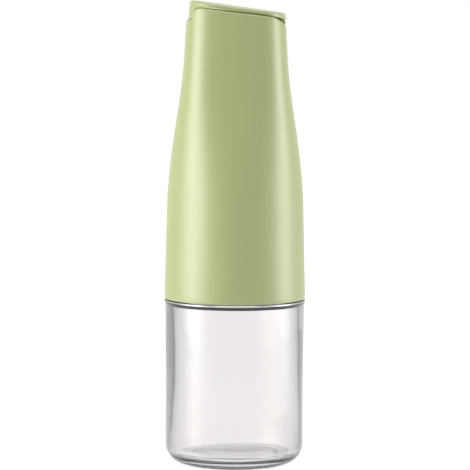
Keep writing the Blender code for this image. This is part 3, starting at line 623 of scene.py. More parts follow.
def finish(name, colour, deep, roughness, spread, grain, relief, stretch=(1, 1, 1), **sockets):
    """A moulded or ground surface: faint flow marks in the colour, a fine grain in gloss and relief."""
    made = bpy.data.materials.new(name)
    nodes = Nodes(made)
    place = nodes.add("ShaderNodeTexCoord").outputs["Object"]
    stretched = nodes.add("ShaderNodeMapping", [(place, "Vector")], Scale=stretch).outputs["Vector"]
    marks = nodes.add("ShaderNodeTexNoise", [(place, "Vector")], Scale=24.0, Detail=3.0, Roughness=0.55)
    fine = nodes.add("ShaderNodeTexNoise", [(stretched, "Vector")], Scale=1 / grain, Detail=2.0).outputs["Fac"]
    colours = nodes.add("ShaderNodeMix", [(marks.outputs["Fac"], 0)], data_type="RGBA")
    colours.inputs[6].default_value = (*colour, 1)
    colours.inputs[7].default_value = (*deep, 1)
    bump = nodes.add("ShaderNodeBump", [(fine, "Height")], Strength=relief, Distance=grain / 4)
    nodes.fill(Base_Color=colours.outputs[2], Normal=bump.outputs["Normal"],
               Roughness=nodes.ramp(fine, 0, 1, roughness - spread, roughness + spread), **sockets)
    return made


def clear_glass(name):
    """Pressed clear glass: slow waves in its faces, and a grey-green body where it is thick. Painted shade
    darkens its colour where the faces slant, under the bead and along the inner wall, and a painted glint shows
    above the bead.
    """
    paint = bpy.context.scene.bottle_finish
    made = bpy.data.materials.new(name)
    nodes = Nodes(made)
    place = nodes.add("ShaderNodeTexCoord").outputs["Object"]
    long_place = nodes.add("ShaderNodeMapping", [(place, "Vector")], Scale=(1, 1, 0.45)).outputs["Vector"]
    waves = nodes.add("ShaderNodeTexNoise", [(long_place, "Vector")], Scale=60.0, Detail=1.0)
    bump = nodes.add("ShaderNodeBump", [(waves.outputs["Fac"], "Height")], Strength=0.25, Distance=0.0006)
    facing = nodes.add("ShaderNodeLayerWeight", Blend=0.5).outputs["Facing"]
    # Painted shade: the glass's colour darkens where its faces slant away from the view, standing in for dark
    # surroundings seen through its edges.
    clear = nodes.add("ShaderNodeValToRGB", [(facing, 0)])
    clear.color_ramp.elements[0].color = (0.930, 0.913, 0.908, 1)
    clear.color_ramp.elements[1].color = (0.220, 0.216, 0.215, 1)
    for slant, level in ((0.2, 0.93), (0.43, 0.80), (0.565, 0.72), (0.66, 0.60), (0.74, 0.48), (0.82, 0.34)):
        clear.color_ramp.elements.new(slant).color = (level, level * 0.982, level * 0.976, 1)
    height = nodes.add("ShaderNodeSeparateXYZ", [(place, 0)]).outputs["Z"]

    def beside(level, near, far, low, high):
        """From low to high as the height leaves a level."""
        away = nodes.calc("ABSOLUTE", nodes.calc("SUBTRACT", height, level))
        return nodes.ramp(away, near, far, low, high)

    across = nodes.add("ShaderNodeVectorMath", [(place, 0)], operation="MULTIPLY")
    across.inputs[1].default_value = (1, 1, 0)
    radius = nodes.add("ShaderNodeVectorMath", [(across.outputs[0], 0)], operation="LENGTH").outputs["Value"]
    # Painted shade: a dark, mirror-like line along the inner wall where it is seen slanting.
    grazing = nodes.ramp(facing, 0.74, 0.88, 0, 1)
    upright = nodes.ramp(height, 0.011, 0.024, 0, 0.75)
    line = nodes.calc("MULTIPLY", nodes.calc("MULTIPLY", grazing, upright),
                      nodes.calc("COMPARE", radius, *INNER_FACE))
    # Painted shade: the colour is darkened in a narrow band just under the bead.
    light = nodes.calc("MULTIPLY", nodes.calc("SUBTRACT", 1, line), beside(PAINTED_SHADE_LINE, 0.0007, 0.0011, 0.05, 1))
    shaded_colour = nodes.add("ShaderNodeVectorMath", [(clear.outputs["Color"], 0), (light, "Scale")], operation="SCALE")
    # Painted glint: Metallic makes a band above the bead mirror-like, so that it shows as a bright line.
    nodes.fill(Base_Color=shaded_colour.outputs[0], Normal=bump.outputs["Normal"], Roughness=0, IOR=1.51,
               Metallic=nodes.calc("MAXIMUM", line, beside(PAINTED_GLINT_LINE, 0.0004, 0.0008, 0.6, 0)),
               Transmission_Weight=1)
    body = nodes.add("ShaderNodeVolumeAbsorption", Color=(*paint.glass_body, 1), Density=paint.glass_density)
    nodes.end(body.outputs["Volume"], "Volume")
    return made


def surface(slot):
    """The finish for a slot, made once."""
    name = "fine_" + slot
    found = bpy.data.materials.get(name)
    if found:
        return found
    paint = bpy.context.scene.bottle_finish
    if slot == "clear_glass":
        return clear_glass(name)
    if slot == "green_plastic":
        return finish(name, paint.green, paint.green_deep, paint.green_gloss, 0.03, 0.00035, 0.06,
                      Specular_IOR_Level=1)
    if slot == "white_plastic":
        return finish(name, paint.white, [c * 0.95 for c in paint.white], 0.42, 0.04, 0.0004, 0.08)
    if slot == "silicone":
        return finish(name, paint.seal, [c * 0.93 for c in paint.seal], 0.50, 0.06, 0.0005, 0.10,
                      Subsurface_Weight=0.25, Subsurface_Scale=0.002)
    if slot == "steel":
        return finish(name, (0.62, 0.62, 0.63), (0.50, 0.50, 0.52), 0.30, 0.08, 0.0003, 0.10,
                      stretch=(1, 0.05, 1), Metallic=1)
    raise ValueError(f"no finish for the slot {slot}")


# Glass jar

def thread_rise(angle, z, start):
    """0 beside the ridge of a screw thread, 1 on its crest."""
    best = 0.0
    for lap in range(3):
        along = angle / (2 * math.pi) + lap - 1
        if 0 <= along <= TURNS:
            end = min(1.0, along / RUNOUT_TURNS, (TURNS - along) / RUNOUT_TURNS)
            best = max(best, end * ease(abs(z - start - PITCH * along), THREAD_ROOT, THREAD_CREST))
    return best


def jar_mesh():
    sizes = bpy.context.scene.bottle_jar
    inner, low = sizes.radius - sizes.wall, sizes.radius - sizes.low_wall
    neck, mouth, flat = sizes.neck, sizes.neck - NECK_WALL, sizes.neck - RIM_FLAT
    inside = rounded([
        (0, sizes.floor, 0), (0.0302, sizes.floor + 0.0004, 0.0012), (0.0324, sizes.corner, 0.0009),
        (low, sizes.corner, 0.0040), (low, 0.0220, 0.42), (inner, 0.0560, 0.42),
        (inner + 0.0004, 0.0938, 0.0028), (mouth, 0.0952, 0.0012), (mouth, RIM, NECK_ROUND), (flat, RIM, 0),
    ], math.radians(8))
    start, end = THREAD_START - 2 * THREAD_ROOT, THREAD_START + PITCH * TURNS + 2 * THREAD_ROOT
    threaded = [(neck, end - (end - start) * i / THREAD_ROWS) for i in range(THREAD_ROWS + 1)]
    top = rounded([(flat, RIM, 0), (neck, RIM, NECK_ROUND), (neck, end, 0)])[1:-1]
    ledge = sizes.radius - 0.0026
    outside = rounded([
        (neck, start, 0), (neck, 0.0978, 0.0012), (ledge, 0.0950, 0.0008), (ledge, BEAD_HIGH, 0),
        (sizes.bead, BEAD_HIGH, 0.0006), (sizes.bead, BEAD_LOW, 0.0005), (sizes.radius, 0.0910, 0.0006),
        (sizes.radius - 0.0002, 0.0506, 1.5), (sizes.radius, 0, FOOT_ROUND), (0.0245, 0, 0.0008),
        (0.0205, 0.0034, 0.003), (0, 0.0036, 0),
    ], math.radians(8))[1:]

    def settle(point, angle, radius, index):
        """Puts the inner wall a little off the middle and out of round, and the thread on the neck."""
        x, y, z = point
        if index < len(inside):
            share = part_way(z, sizes.floor, sizes.floor + 0.020) * part_way(z, RIM - 0.014, RIM - 0.034)
            swell = 1 + OVAL * share * math.sin(2 * angle + 1.1)
            return x * swell + sizes.drift * share * min(1.0, radius / inner), y * swell, z
        if radius == neck:
            scale = (radius + THREAD_DEPTH * thread_rise(angle, z, THREAD_START)) / radius
            return x * scale, y * scale, z
        return point

    return turned("glass_jar", inside + top + threaded + outside, 192, warp=settle)


class BottleJar(bpy.types.Operator):
    """Builds the clear glass jar with its bead and its threaded neck"""
    bl_idname = "bottle.glass_jar"
    bl_label = "Glass Jar"

    def execute(self, context):
        show("jar_glass", jar_mesh(), "jar", "glass_jar", "clear_glass")
        return {"FINISHED"}


# Outer shell

def soft_edge(upward, most):
    """Rounding of an edge: full where it faces up or down, nearly sharp where it stands upright."""
    return SHARP + (most - SHARP) * part_way(abs(upward), 0.55, 0.90)


def rim_height(x):
    return STEP_TOP - RIM_SLOPE * (x - STEP_X)


def shell_mesh():
    sizes = bpy.context.scene.bottle_shell
    outline = rounded([
        (sizes.foot, DROP[2][1], 0), (*DROP[2], 0), (*DROP[1], DROP_ROUND), (*DROP[0], DROP_ROUND),
        (STEP_X + STEP_SLANT, rim_height(STEP_X), 0.0034), (STEP_X - STEP_SLANT, RIM_FRONT, 0.0012),
        (-sizes.foot, RIM_FRONT, 0),
    ], math.radians(9))
    walk = Walk(shell_section(TOP_LEVEL + 0.005))
    edge = edge_walk(walk, outline, 0.0, (-0.0262, -0.0205))

    def on_wall(s, z, inset):
        return (*section_point(*shell_section(z), walk.angle(s), inset), z)

    def level(z, inset):
        return [on_wall(s, z, inset) for s, _ in places]

    # In front of the step the rim is rounded more, and further down
    ahead = [part_way(on_wall(s, z, 0)[0], STEP_X, STEP_X - 0.0015) for s, z, _, _ in edge]
    rims = [soft_edge(nz, sizes.rim * (1 + 0.5 * front)) for (_, _, _, nz), front in zip(edge, ahead)]
    falls = [rim * (0.7 + 0.9 * front) for rim, front in zip(rims, ahead)]
    places = [(s - fall * ns, z - fall * nz) for (s, z, ns, nz), fall in zip(edge, falls)]
    bottom = SHELL_LOW + SHELL_FOOT
    rows = [level(bottom - SHELL_FOOT * (1 - inset), SHELL_FOOT * drop) for drop, inset in quarter(3)]
    body = 58
    for i in range(1, body):
        rows.append([on_wall(s, bottom + (z - bottom) * i / body, 0) for s, z in places])
    for drop, inset in quarter(5):
        rows.append([on_wall(s - fall * drop * ns, z - fall * drop * nz, rim * inset)
                     for (s, z, ns, nz), rim, fall in zip(edge, rims, falls)])
    inner = 0.0005
    for drop, inset in quarter(4):
        rows.append([on_wall(s - inner * inset * ns, z - inner * inset * nz, sizes.wall - inner * drop)
                     for s, z, ns, nz in edge])
    down = 0.2440
    for share in (0.33, 0.67):
        rows.append([on_wall(s, z + (down - z) * share, sizes.wall) for s, z in places])
    steps = [(down, 0)]
    for (low, high, width), below, count in ((DECK_LEDGE, 0.1200, 34), (COLLAR_LEDGE, bottom, 8)):
        steps += [(high, 0), (high, width - LEDGE_EDGE), (high - LEDGE_EDGE, width), (low + LEDGE_EDGE, width),
                  (low, width - LEDGE_EDGE), (low, 0)]
        steps += [(low + (below - low) * i / count, 0) for i in range(1, count + 1)]
    rows += [level(z, sizes.wall + width) for z, width in steps]
    rows.append(level(SHELL_LOW, sizes.wall - SHELL_FOOT))
    shell = skin("outer_shell", rows, closed=True)
    scoop = peg("scoop", KNUCKLE + 0.0003, KNUCKLE_HALF + 0.0006, 64)
    shell = carved(shell, moved(scoop, ACROSS_HINGE))
    half, depth, _ = shell_section(COLLAR_LEDGE[0])
    ribs = []
    for i in range(4):
        reach = (half if i % 2 == 0 else depth) - sizes.wall
        rib = brick("rib", (reach - 0.0020, -RIB_HALF, RIB_LOW), (reach + 0.0012, RIB_HALF, RIB_HIGH), EDGE)
        ribs.append(turned_by(rib, i))
    return joined(shell, *ribs)


class BottleShell(bpy.types.Operator):
    """Builds the tapered green shell with its sloping rim, ledges and drive ribs"""
    bl_idname = "bottle.outer_shell"
    bl_label = "Outer Shell"

    def execute(self, context):
        show("shell_body", shell_mesh(), "top", "outer_shell", "green_plastic")
        return {"FINISHED"}


# Flip lid

def lid_top(x):
    return LID_TOP - LID_SLOPE * (x - LID_FRONT)


def under_lid(x):
    """Height of what lies against the lid's plate from below."""
    return lid_top(x) - LID_PLATE - SEAT_GAP


def pad_matrix():
    """Puts a piece at the middle of the seal pad's upper face, tilted like the lid."""
    x = SPOUT_X - PAD_SHIFT
    return Matrix.Translation((x, 0, under_lid(x))) @ Matrix.Rotation(math.atan(LID_SLOPE), 4, "Y")


def lid_mesh():
    sizes = bpy.context.scene.bottle_lid
    middle, half = (LID_FRONT + LID_BACK) / 2, (LID_BACK - LID_FRONT) / 2
    section = (half, LID_DEPTH, LID_CORNER)
    step, far = STEP_X - APRON_GAP, 0.05
    outline = rounded([
        (far, STRIP_BACK, 0), (LID_BACK, STRIP_BACK, 0.001), (DROP_X, rim_height(DROP_X) + LID_GAP, DROP_ROUND),
        (step + STEP_SLANT, rim_height(STEP_X) + LID_GAP, 0.0040), (step - STEP_SLANT, APRON_LOW, 0.0006),
        (-far, APRON_LOW, 0),
    ], math.radians(9))
    walk = Walk(section)
    edge = edge_walk(walk, outline, middle, (-0.0266, -0.0208))
    softs = [soft_edge(nz, sizes.edge) for _, _, _, nz in edge]

    def on_side(s, z, inset):
        x, y = section_point(*section, walk.angle(s), inset)
        return x + middle, y * LID_SQUEEZE, z

    def lower_edge(steps, wall, way):
        """Rows up the rounding of the lower edge, from its lowest line to the side."""
        return [[on_side(s + soft * drop * ns, z + soft * drop * nz, wall + way * soft * inset)
                 for (s, z, ns, nz), soft in zip(edge, softs)] for drop, inset in quarter(steps)][::-1]

    def ring(inset, drop, scale=1.0):
        row = []
        for (s, _, ns, _), soft in zip(edge, softs):
            x, y, _ = on_side(s + soft * ns, 0, inset)
            x, y = middle + (x - middle) * scale, y * scale
            row.append((x, y, lid_top(x) - drop))
        return row

    rows = lower_edge(4, 0, 1)
    start, top = rows[-1], ring(LID_DRAFT, sizes.shoulder)
    rows += [mixed(start, top, share) for share in (0.25, 0.5, 0.75)]
    rows += [ring(LID_DRAFT + sizes.crown * inset, sizes.shoulder * drop) for drop, inset in quarter(7)]
    rows += [ring(LID_DRAFT + sizes.crown, 0, scale) for scale in (0.9, 0.75, 0.55, 0.35, 0.15)]
    rows.append([(middle, 0, lid_top(middle))])
    inner = lower_edge(3, sizes.wall, -1)
    deep = ring(sizes.wall, LID_PLATE + 0.0005)
    inner += [mixed(inner[-1], deep, 0.5), deep, ring(sizes.wall + 0.00015, LID_PLATE + 0.00015)]
    inner += [ring(sizes.wall + 0.0005, LID_PLATE, scale) for scale in (1.0, 0.8, 0.5, 0.2)]
    inner.append([(middle, 0, lid_top(middle) - LID_PLATE)])
    lid = skin("flip_lid", inner[::-1] + rows)
    knuckle = washer("knuckle", PIN + PIN_PLAY, KNUCKLE, -KNUCKLE_HALF, KNUCKLE_HALF, 64, 0.0002, 0.0004)
    x, _, z = HINGE
    web = brick("web", (x - 0.0036, -KNUCKLE_HALF + 0.0002, z + 0.0002),
                (x + 0.0011, KNUCKLE_HALF - 0.0002, lid_top(x) - LID_PLATE + 0.0006), EDGE)
    hole, outer, high = PAD + SEAT_GAP, PAD + 0.0014, 0.0008
    socket = turned("socket", rounded([
        (hole, high, 0), (hole, -SOCKET_DEEP, 0.0002), (outer, -SOCKET_DEEP, EDGE), (outer, high, 0),
    ]), 96, closed=True)
    return joined(lid, moved(knuckle, ACROSS_HINGE), web, moved(socket, pad_matrix()))


class BottleLid(bpy.types.Operator):
    """Builds the green flip lid with its hinge knuckle and the socket for its pad"""
    bl_idname = "bottle.flip_lid"
    bl_label = "Flip Lid"

    def execute(self, context):
        show("lid_cover", lid_mesh(), "lid", "flip_lid", "green_plastic")
        return {"FINISHED"}


# Tube, spout and collar

def tube_mesh():
    """The tube with its flange, leaning forwards to the cup under the spout."""
    outer, cup, flange = TUBE_BORE + TUBE_WALL, CUP_BORE + TUBE_WALL, FLANGE_LOW + FLANGE_THICK
    bend = [BEND[0] + (BEND[1] - BEND[0]) * i / 40 for i in range(41)]
    profile = rounded([
        (TUBE_BORE, 0.1250, 0), (TUBE_BORE, TUBE_LOW, EDGE), (outer, TUBE_LOW, EDGE), (outer, FLANGE_LOW, EDGE),
        (FLANGE, FLANGE_LOW, 0.0004), (FLANGE, flange, 0.0004), (outer, flange, 0.0006),
        (outer, BEND[0] - 0.001, 0),
    ])
    profile += [(outer, z) for z in bend]
    profile += rounded([
        (outer, BEND[1] - 0.001, 0), (outer, THROAT, 0.001), (cup, CUP_LOW, 0.001), (cup, CUP_HIGH, EDGE),
        (CUP_BORE, CUP_HIGH, EDGE), (CUP_BORE, CUP_LOW, 0.001), (TUBE_BORE, THROAT, 0.001),
        (TUBE_BORE, BEND[1] + 0.0002, 0),
    ])[1:]
    profile += [(TUBE_BORE, z) for z in bend[::-1]]

    def warp(point, angle, radius, index):
        x, y, z = point
        return x + SPOUT_X * ease(z, *BEND), y, z

    return turned("pour_tube", profile, 72, closed=True, warp=warp)


def spout_mesh():
    """The nozzle with its flared lip, in the drip cup that it stands in."""
    low, floor, waist, middle = 0.2395, 0.2407, 0.2500, 0.2450
    cup, seat, flange = CUP_BORE - SEAT_GAP, CUP_HIGH + SEAT_GAP, 0.0101
    well, brim = cup - CUP_WALL, seat + CUP_WALL
    lip = under_lid(SPOUT_X - PAD_SHIFT) - PAD_THICK * math.hypot(1, LID_SLOPE) - SEAT_GAP
    profile = rounded([
        (NOZZLE_BORE, middle, 0), (NOZZLE_BORE, waist, 0.004), (0.0070, lip, 0.00035), (0.0079, lip, 0.0004),
        (NOZZLE, waist, 0.005), (NOZZLE, floor, 0.0008), (well, floor, 0.0008), (well, brim, EDGE),
        (flange, brim, 0.0004), (flange, seat, EDGE), (cup, seat, EDGE), (cup, low, 0.0004),
        (NOZZLE_BORE, low, 0.0004), (NOZZLE_BORE, middle, 0),
    ])[:-1]

    def warp(point, angle, radius, index):
        x, y, z = point
        share = part_way(z, waist, lip)
        return x + SPOUT_X - PAD_SHIFT * share, y, z - LID_SLOPE * x * share

    spout = turned("drip_spout", profile, 80, closed=True, warp=warp)
    x = SPOUT_X + (NOZZLE + well) / 2
    return carved(spout, brick("drain", (x - 0.0004, -0.0020, low - 0.002), (x + 0.0004, 0.0020, floor + 0.002)))


def collar_mesh():
    """The threaded cap: a skirt with the thread inside and a flange with notches for the ribs."""
    bore = bpy.context.scene.bottle_jar.neck + THREAD_DEPTH + THREAD_PLAY
    outer = bore + COLLAR_WALL
    flange = shell_section(CEILING_HIGH)[0] - bpy.context.scene.bottle_shell.wall - SEAT_GAP
    start = THREAD_START - PITCH / 2
    z0, z1 = start - 2 * THREAD_ROOT + 0.0012, start + PITCH * TURNS + 2 * THREAD_ROOT
    profile = rounded([
        (bore, z1, 0), (bore, CEILING_LOW, 0.0005), (COLLAR_HOLE, CEILING_LOW, EDGE),
        (COLLAR_HOLE, CEILING_HIGH, EDGE), (flange, CEILING_HIGH, 0.0004), (flange, CEILING_LOW, 0.0004),
        (outer, CEILING_LOW, 0.0008), (outer, COLLAR_LOW, 0.0006), (bore + 0.0003, COLLAR_LOW, 0),
        (bore, COLLAR_LOW + 0.0003, 0),
    ])[1:]
    profile += [(bore, z0 + (z1 - z0) * i / THREAD_ROWS) for i in range(THREAD_ROWS + 1)]

    def warp(point, angle, radius, index):
        x, y, z = point
        if radius != bore or not z0 <= z <= z1:
            return point
        scale = (radius - THREAD_DEPTH * thread_rise(angle, z, start)) / radius
        return x * scale, y * scale, z

    collar = turned("threaded_collar", profile, 160, closed=True, warp=warp)
    cutters = [moved(peg("hole", VALVE_HOLE, 0.01, 32), Matrix.Translation((VALVE_X, 0, CEILING_LOW)))]
    half, over = RIB_HALF + SEAT_GAP, 0.004
    for i in range(4):
        low, high = (flange - 0.0020, -half, CEILING_LOW - over), (flange + over, half, CEILING_HIGH + over)
        cutters.append(turned_by(brick("notch", low, high), i))
    return carved(collar, *cutters)


class BottlePourTube(bpy.types.Operator):
    """Builds the leaning pour tube with its flange and its cup"""
    bl_idname = "bottle.pour_tube"
    bl_label = "Pour Tube"

    def execute(self, context):
        show("tube_body", tube_mesh(), "top", "pour_tube", "white_plastic")
        return {"FINISHED"}


class BottleSpout(bpy.types.Operator):
    """Builds the spout with its flared lip in the drip cup"""
    bl_idname = "bottle.drip_spout"
    bl_label = "Drip Spout"

    def execute(self, context):
        show("spout_nozzle", spout_mesh(), "top", "drip_spout", "white_plastic")
        return {"FINISHED"}


class BottleCollar(bpy.types.Operator):
    """Builds the threaded collar that holds the top on the neck"""
    bl_idname = "bottle.threaded_collar"
    bl_label = "Threaded Collar"

    def execute(self, context):
        show("collar_body", collar_mesh(), "top", "threaded_collar", "white_plastic")
        return {"FINISHED"}


# Deck, carrier and hinge pin

def deck_mesh():
    inset = bpy.context.scene.bottle_shell.wall + SEAT_GAP
    ring = [section_point(*shell_section(DECK_LOW), 2 * math.pi * i / 120, inset) for i in range(120)]
    hole = circle(SPOUT_X, 0, CUP_BORE + TUBE_WALL + SEAT_GAP)
    floor = plate("pour_deck", [ring, hole, oblong(*ARM_SLOT, 0.0008)], DECK_THICK / 2)
    parts = [moved(floor, Matrix.Translation((0, 0, DECK_LOW + DECK_THICK / 2)))]
    x, _, z = HINGE
    root, top, soft = DECK_LOW + 0.0006, z + EAR, EAR * 0.98
    outline = rounded([(x - EAR, root, 0), (x - EAR, top, soft), (x + EAR, top, soft), (x + EAR, root, 0)])
    place = KNUCKLE_HALF + SEAT_GAP + EAR_THICK / 2
    for side in (-1, 1):
        ear = plate("ear", [outline, circle(x, z, PIN + PIN_PLAY, 32)], EAR_THICK / 2, along_y=True)
        parts.append(moved(ear, Matrix.Translation((0, side * place, 0))))
    return joined(*parts)


def carrier_mesh():
    """The arm under the lid and the box that hangs from it, open below."""
    start, arm, corner = 0.0075, 0.0016, BOX_FRONT + ARM_THICK
    outline = rounded([
        (start, under_lid(start), 0), (ARM_FRONT, under_lid(ARM_FRONT), 0.0004),
        (ARM_FRONT, under_lid(ARM_FRONT) - arm, 0.0006), (BOX_FRONT, under_lid(BOX_FRONT) - arm, 0.0012),
        (BOX_FRONT, BOX_LOW, 0.0008), (BOX_BACK, BOX_LOW, 0.0008), (BOX_BACK, BOX_HIGH, 0.0012),
        (corner, BOX_HIGH, 0.0010), (corner, under_lid(corner), 0.0004), (start, under_lid(start), 0),
    ])[:-1]
    carrier = plate("weight_carrier", [outline], BOX_HALF, along_y=True)
    half = BOX_HALF - BOX_WALL
    return carved(carrier, brick("pocket", (BOX_FRONT + BOX_WALL, -half, BOX_LOW - 0.004),
                                 (BOX_BACK - BOX_WALL, half, BOX_HIGH - BOX_WALL)))


def pocket_block(name, bottom, top, edge):
    """A block that fits the carrier's pocket, between two heights."""
    room = BOX_WALL + SEAT_GAP
    half = BOX_HALF - room
    return brick(name, (BOX_FRONT + room, -half, bottom), (BOX_BACK - room, half, top), edge)


class BottleDeck(bpy.types.Operator):
    """Builds the deck under the lid with the ears of the hinge"""
    bl_idname = "bottle.pour_deck"
    bl_label = "Pour Deck"

    def execute(self, context):
        show("deck_plate", deck_mesh(), "top", "pour_deck", "green_plastic")
        return {"FINISHED"}


class BottleCarrier(bpy.types.Operator):
    """Builds the weight carrier and the cover of its pocket"""
    bl_idname = "bottle.weight_carrier"
    bl_label = "Weight Carrier"

    def execute(self, context):
        cover = pocket_block("weight_cover", BOX_LOW, BOX_LOW + BOX_WALL, EDGE)
        show("carrier_arm", carrier_mesh(), "lid", "weight_carrier", "white_plastic")
        show("carrier_cover", cover, "lid", "weight_cover", "white_plastic")
        return {"FINISHED"}


class BottleSteel(bpy.types.Operator):
    """Builds the steel pieces, the hinge pin and the counterweight"""
    bl_idname = "bottle.steel_pieces"
    bl_label = "Steel Pieces"

    def execute(self, context):
        pin = peg("hinge_pin", PIN, KNUCKLE_HALF + SEAT_GAP + EAR_THICK - 0.0002, 48, EDGE)
        room = BOX_WALL + SEAT_GAP
        weight = pocket_block("counterweight", BOX_LOW + room, BOX_HIGH - room, 0.0005)
        show("pin_rod", moved(pin, ACROSS_HINGE), "top", "hinge_pin", "steel")
        show("weight_block", weight, "lid", "counterweight", "steel")
        return {"FINISHED"}


# Silicone pieces

def valve_mesh():
    """A plug with a cone for a head and a barb that holds it in the collar's ceiling."""
    head_low = CEILING_HIGH + SEAT_GAP
    head_high = head_low + 0.0012
    barb_high = CEILING_LOW - SEAT_GAP
    barb_low = barb_high - 0.0024
    valve = turned("breather_valve", rounded([
        (VALVE_BORE, 0.1140, 0), (VALVE_BORE, head_high, 0.0002), (VALVE_STEM, head_high, 0.0004),
        (0.0044, head_low, 0.00005), (VALVE_STEM, head_low, 0.0002), (VALVE_STEM, barb_high, 0.0002),
        (0.0032, barb_high, EDGE), (VALVE_STEM, barb_low, EDGE), (VALVE_BORE, barb_low, 0.0002),
        (VALVE_BORE, 0.1140, 0),
    ])[:-1], 56, closed=True)
    return moved(valve, Matrix.Translation((VALVE_X, 0, 0)))


def pad_mesh():
    """A disc with a shallow groove in its lower face."""
    groove, deep = 0.0076, 0.0002
    pad = turned("lid_seal_pad", rounded([
        (0, 0, 0), (PAD, 0, EDGE), (PAD, -PAD_THICK, 0.0004), (groove + 0.0003, -PAD_THICK, deep),
        (groove, -PAD_THICK + deep, deep), (groove - 0.0003, -PAD_THICK, deep), (0, -PAD_THICK, 0),
    ]), 80)
    return moved(pad, pad_matrix())


class BottleSeals(bpy.types.Operator):
    """Builds the silicone pieces: neck gasket, tube seal, breather valve and lid pad"""
    bl_idname = "bottle.seals"
    bl_label = "Seals"

    def execute(self, context):
        gasket = washer("neck_gasket", *GASKET, RIM + SEAT_GAP, CEILING_LOW - SEAT_GAP, 120)
        seal = washer("tube_seal", SEAL_BORE, FLANGE, CEILING_HIGH + SEAT_GAP, FLANGE_LOW - SEAT_GAP, 96)
        show("gasket_ring", gasket, "gasket", "neck_gasket", "silicone")
        show("seal_ring", seal, "top", "tube_seal", "silicone")
        show("valve_plug", valve_mesh(), "top", "breather_valve", "silicone")
        show("pad_disc", pad_mesh(), "lid", "lid_seal_pad", "silicone")
        return {"FINISHED"}


# Studio

def sheet(name, paint, half_x, half_y):
    """A flat rectangle of the stage, and the nodes of its material."""
    mesh = bpy.data.meshes.new(name)
    corners = [(-half_x, -half_y, 0), (half_x, -half_y, 0), (half_x, half_y, 0), (-half_x, half_y, 0)]
    mesh.from_pydata(corners, [], [(0, 1, 2, 3)])
    mesh.materials.append(bpy.data.materials.new(paint))
    return linked(name, mesh), Nodes(mesh.materials[0])


def aimed(obj, place, aim, axis):
    """Puts an object at a place, with one axis towards a point and hidden from the camera."""
    obj.location = place
    obj.rotation_euler = (Vector(aim) - Vector(place)).to_track_quat(axis, "Y").to_euler()
    obj.visible_camera = False


def softbox(name, place, half_x, half_y, level):
    """A tall glowing panel that fades out towards its edges."""
    obj, nodes = sheet(name, name, half_x, half_y)
    aimed(obj, place, (0, 0, 0.15), "Z")
    nodes.tree.nodes.remove(nodes.main)
    place = nodes.add("ShaderNodeTexCoord").outputs["Object"]
    centred = nodes.add("ShaderNodeMapping", [(place, "Vector")], Scale=(1 / half_x, 1 / half_y, 1))
    fade = nodes.add("ShaderNodeTexGradient", [(centred.outputs[0], 0)], gradient_type="SPHERICAL")
    bright = nodes.add("ShaderNodeMapRange", [(fade.outputs["Fac"], "Value")],
                       interpolation_type="SMOOTHSTEP", To_Max=level)
    singular = nodes.add("ShaderNodeLightPath").outputs["Is Singular Ray"]
    strength = nodes.calc("MULTIPLY", bright.outputs["Result"], nodes.ramp(singular, 0, 1, 1, MIRRORED))
    glow = nodes.add("ShaderNodeEmission", [(strength, "Strength")])
    through = nodes.add("ShaderNodeBsdfTransparent")
    nodes.end(nodes.add("ShaderNodeAddShader", [(glow.outputs[0], 0), (through.outputs[0], 1)]).outputs[0])


def lamp(name, place, aim, size, power):
    light = bpy.data.lights.new(name, "AREA")
    light.shape, light.size, light.size_y, light.energy = "RECTANGLE", size, size, power
    aimed(linked(name, light), place, aim, "-Z")


def seen_white(nodes):
    """1 for rays that show the background: from the camera, off gloss or through glass."""
    path = nodes.add("ShaderNodeLightPath")
    some = nodes.calc("MAXIMUM", path.outputs["Is Camera Ray"], path.outputs["Is Glossy Ray"])
    return nodes.add("ShaderNodeMapRange", [(path.outputs["Is Transmission Ray"], "Value"), (some, "To Min"),
                                            (seen_through(nodes), "To Max")]).outputs["Result"]


def seen_through(nodes):
    """How white the background is through glass: less through one wall's edge than through both walls."""
    return nodes.ramp(nodes.add("ShaderNodeLightPath").outputs["Transmission Depth"], 2, 3, ONE_WALL, 1)


def pale_floor():
    """The floor: plain white paper that looks white through the glass too."""
    ground, nodes = sheet("floor", "paper", FLOOR_HALF, FLOOR_HALF)
    ground.location.z = FLOOR_LEVEL
    nodes.fill(Base_Color=(0.8, 0.8, 0.8, 1), Roughness=0.9)
    glow = nodes.add("ShaderNodeEmission", [(nodes.calc("MULTIPLY", seen_white(nodes), FLOOR_GLOW), "Strength")])
    both = nodes.add("ShaderNodeAddShader", [(nodes.main.outputs[0], 0), (glow.outputs[0], 1)])
    path = nodes.add("ShaderNodeLightPath")
    close = nodes.ramp(path.outputs["Ray Length"], *NEAR_FLOOR, 1, 0)
    white = nodes.add("ShaderNodeEmission", [(nodes.calc("MAXIMUM", seen_through(nodes), close), "Strength")])
    seen = nodes.add("ShaderNodeMixShader", [(path.outputs["Is Transmission Ray"], 0), (both.outputs[0], 1),
                                             (white.outputs[0], 2)])
    nodes.end(seen.outputs[0])


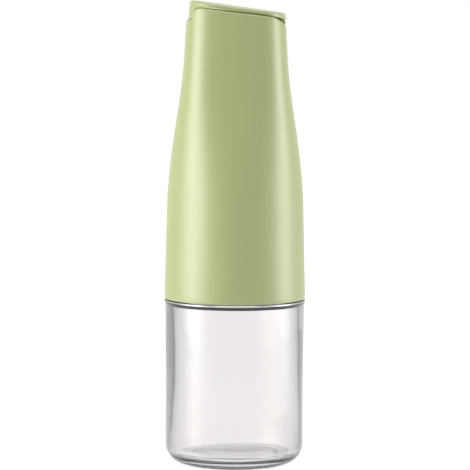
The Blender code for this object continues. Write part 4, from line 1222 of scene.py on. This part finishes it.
class BottleStage(bpy.types.Operator):
    """Sets up the pale floor, the soft studio light and the camera"""
    bl_idname = "bottle.studio"
    bl_label = "Studio"

    def execute(self, context):
        scene, studio = context.scene, context.scene.bottle_studio
        pale_floor()
        scene.world = bpy.data.worlds.new("room")
        nodes = Nodes(scene.world)
        nodes.fill(Color=(1, 1, 1, 1), Strength=nodes.ramp(seen_white(nodes), 0, 1, studio.room, 1))

        softbox("softbox_left", (-0.47, -0.17, 0.20), 0.33, 0.60, studio.left)
        softbox("softbox_right", (0.50, -0.03, 0.20), 0.25, 0.60, studio.right)
        lamp("lamp_above", (0, -0.15, 1.20), (0, 0, 0.1), 0.9, studio.above)

        camera = linked("camera", bpy.data.cameras.new("camera"))
        camera.data.sensor_width = 36.0
        camera.data.lens = LENS
        camera.location = (CAMERA_X, -studio.distance, studio.height)
        camera.rotation_euler = (math.radians(90 - CAMERA_DIP), math.radians(CAMERA_ROLL), 0)
        camera.data.clip_start, camera.data.clip_end = 0.05, 30.0
        scene.camera = camera
        scene.view_settings.view_transform = "Standard"
        return {"FINISHED"}


# Panel and registration

OPERATORS = (BottleJar, BottleShell, BottleLid, BottlePourTube, BottleSpout, BottleCollar, BottleDeck,
             BottleCarrier, BottleSteel, BottleSeals, BottleStage)
GROUPS = {"bottle_jar": BottleJarSizes, "bottle_shell": BottleShellSizes, "bottle_lid": BottleLidSizes,
          "bottle_finish": BottleFinish, "bottle_studio": BottleStudio}


class BottlePanel(bpy.types.Panel):
    """Settings and steps of the bottle"""
    bl_idname = "VIEW3D_PT_bottle"
    bl_label = "Oil Dispenser Bottle"
    bl_space_type = "VIEW_3D"
    bl_region_type = "UI"
    bl_category = "Bottle"

    def draw(self, context):
        for attribute, group in GROUPS.items():
            box = self.layout.box()
            settings = getattr(context.scene, attribute)
            for name in group.__annotations__:
                box.prop(settings, name)
        for operator in OPERATORS:
            self.layout.operator(operator.bl_idname)


def register():
    for cls in (*GROUPS.values(), *OPERATORS, BottlePanel):
        bpy.utils.register_class(cls)
    for attribute, group in GROUPS.items():
        setattr(bpy.types.Scene, attribute, PointerProperty(type=group))


def unregister():
    for attribute in GROUPS:
        delattr(bpy.types.Scene, attribute)
    for cls in reversed((*GROUPS.values(), *OPERATORS, BottlePanel)):
        bpy.utils.unregister_class(cls)


def main():
    register()
    for operator in OPERATORS:
        group, name = operator.bl_idname.split(".")
        getattr(getattr(bpy.ops, group), name)()


if __name__ == "__main__":
    main()
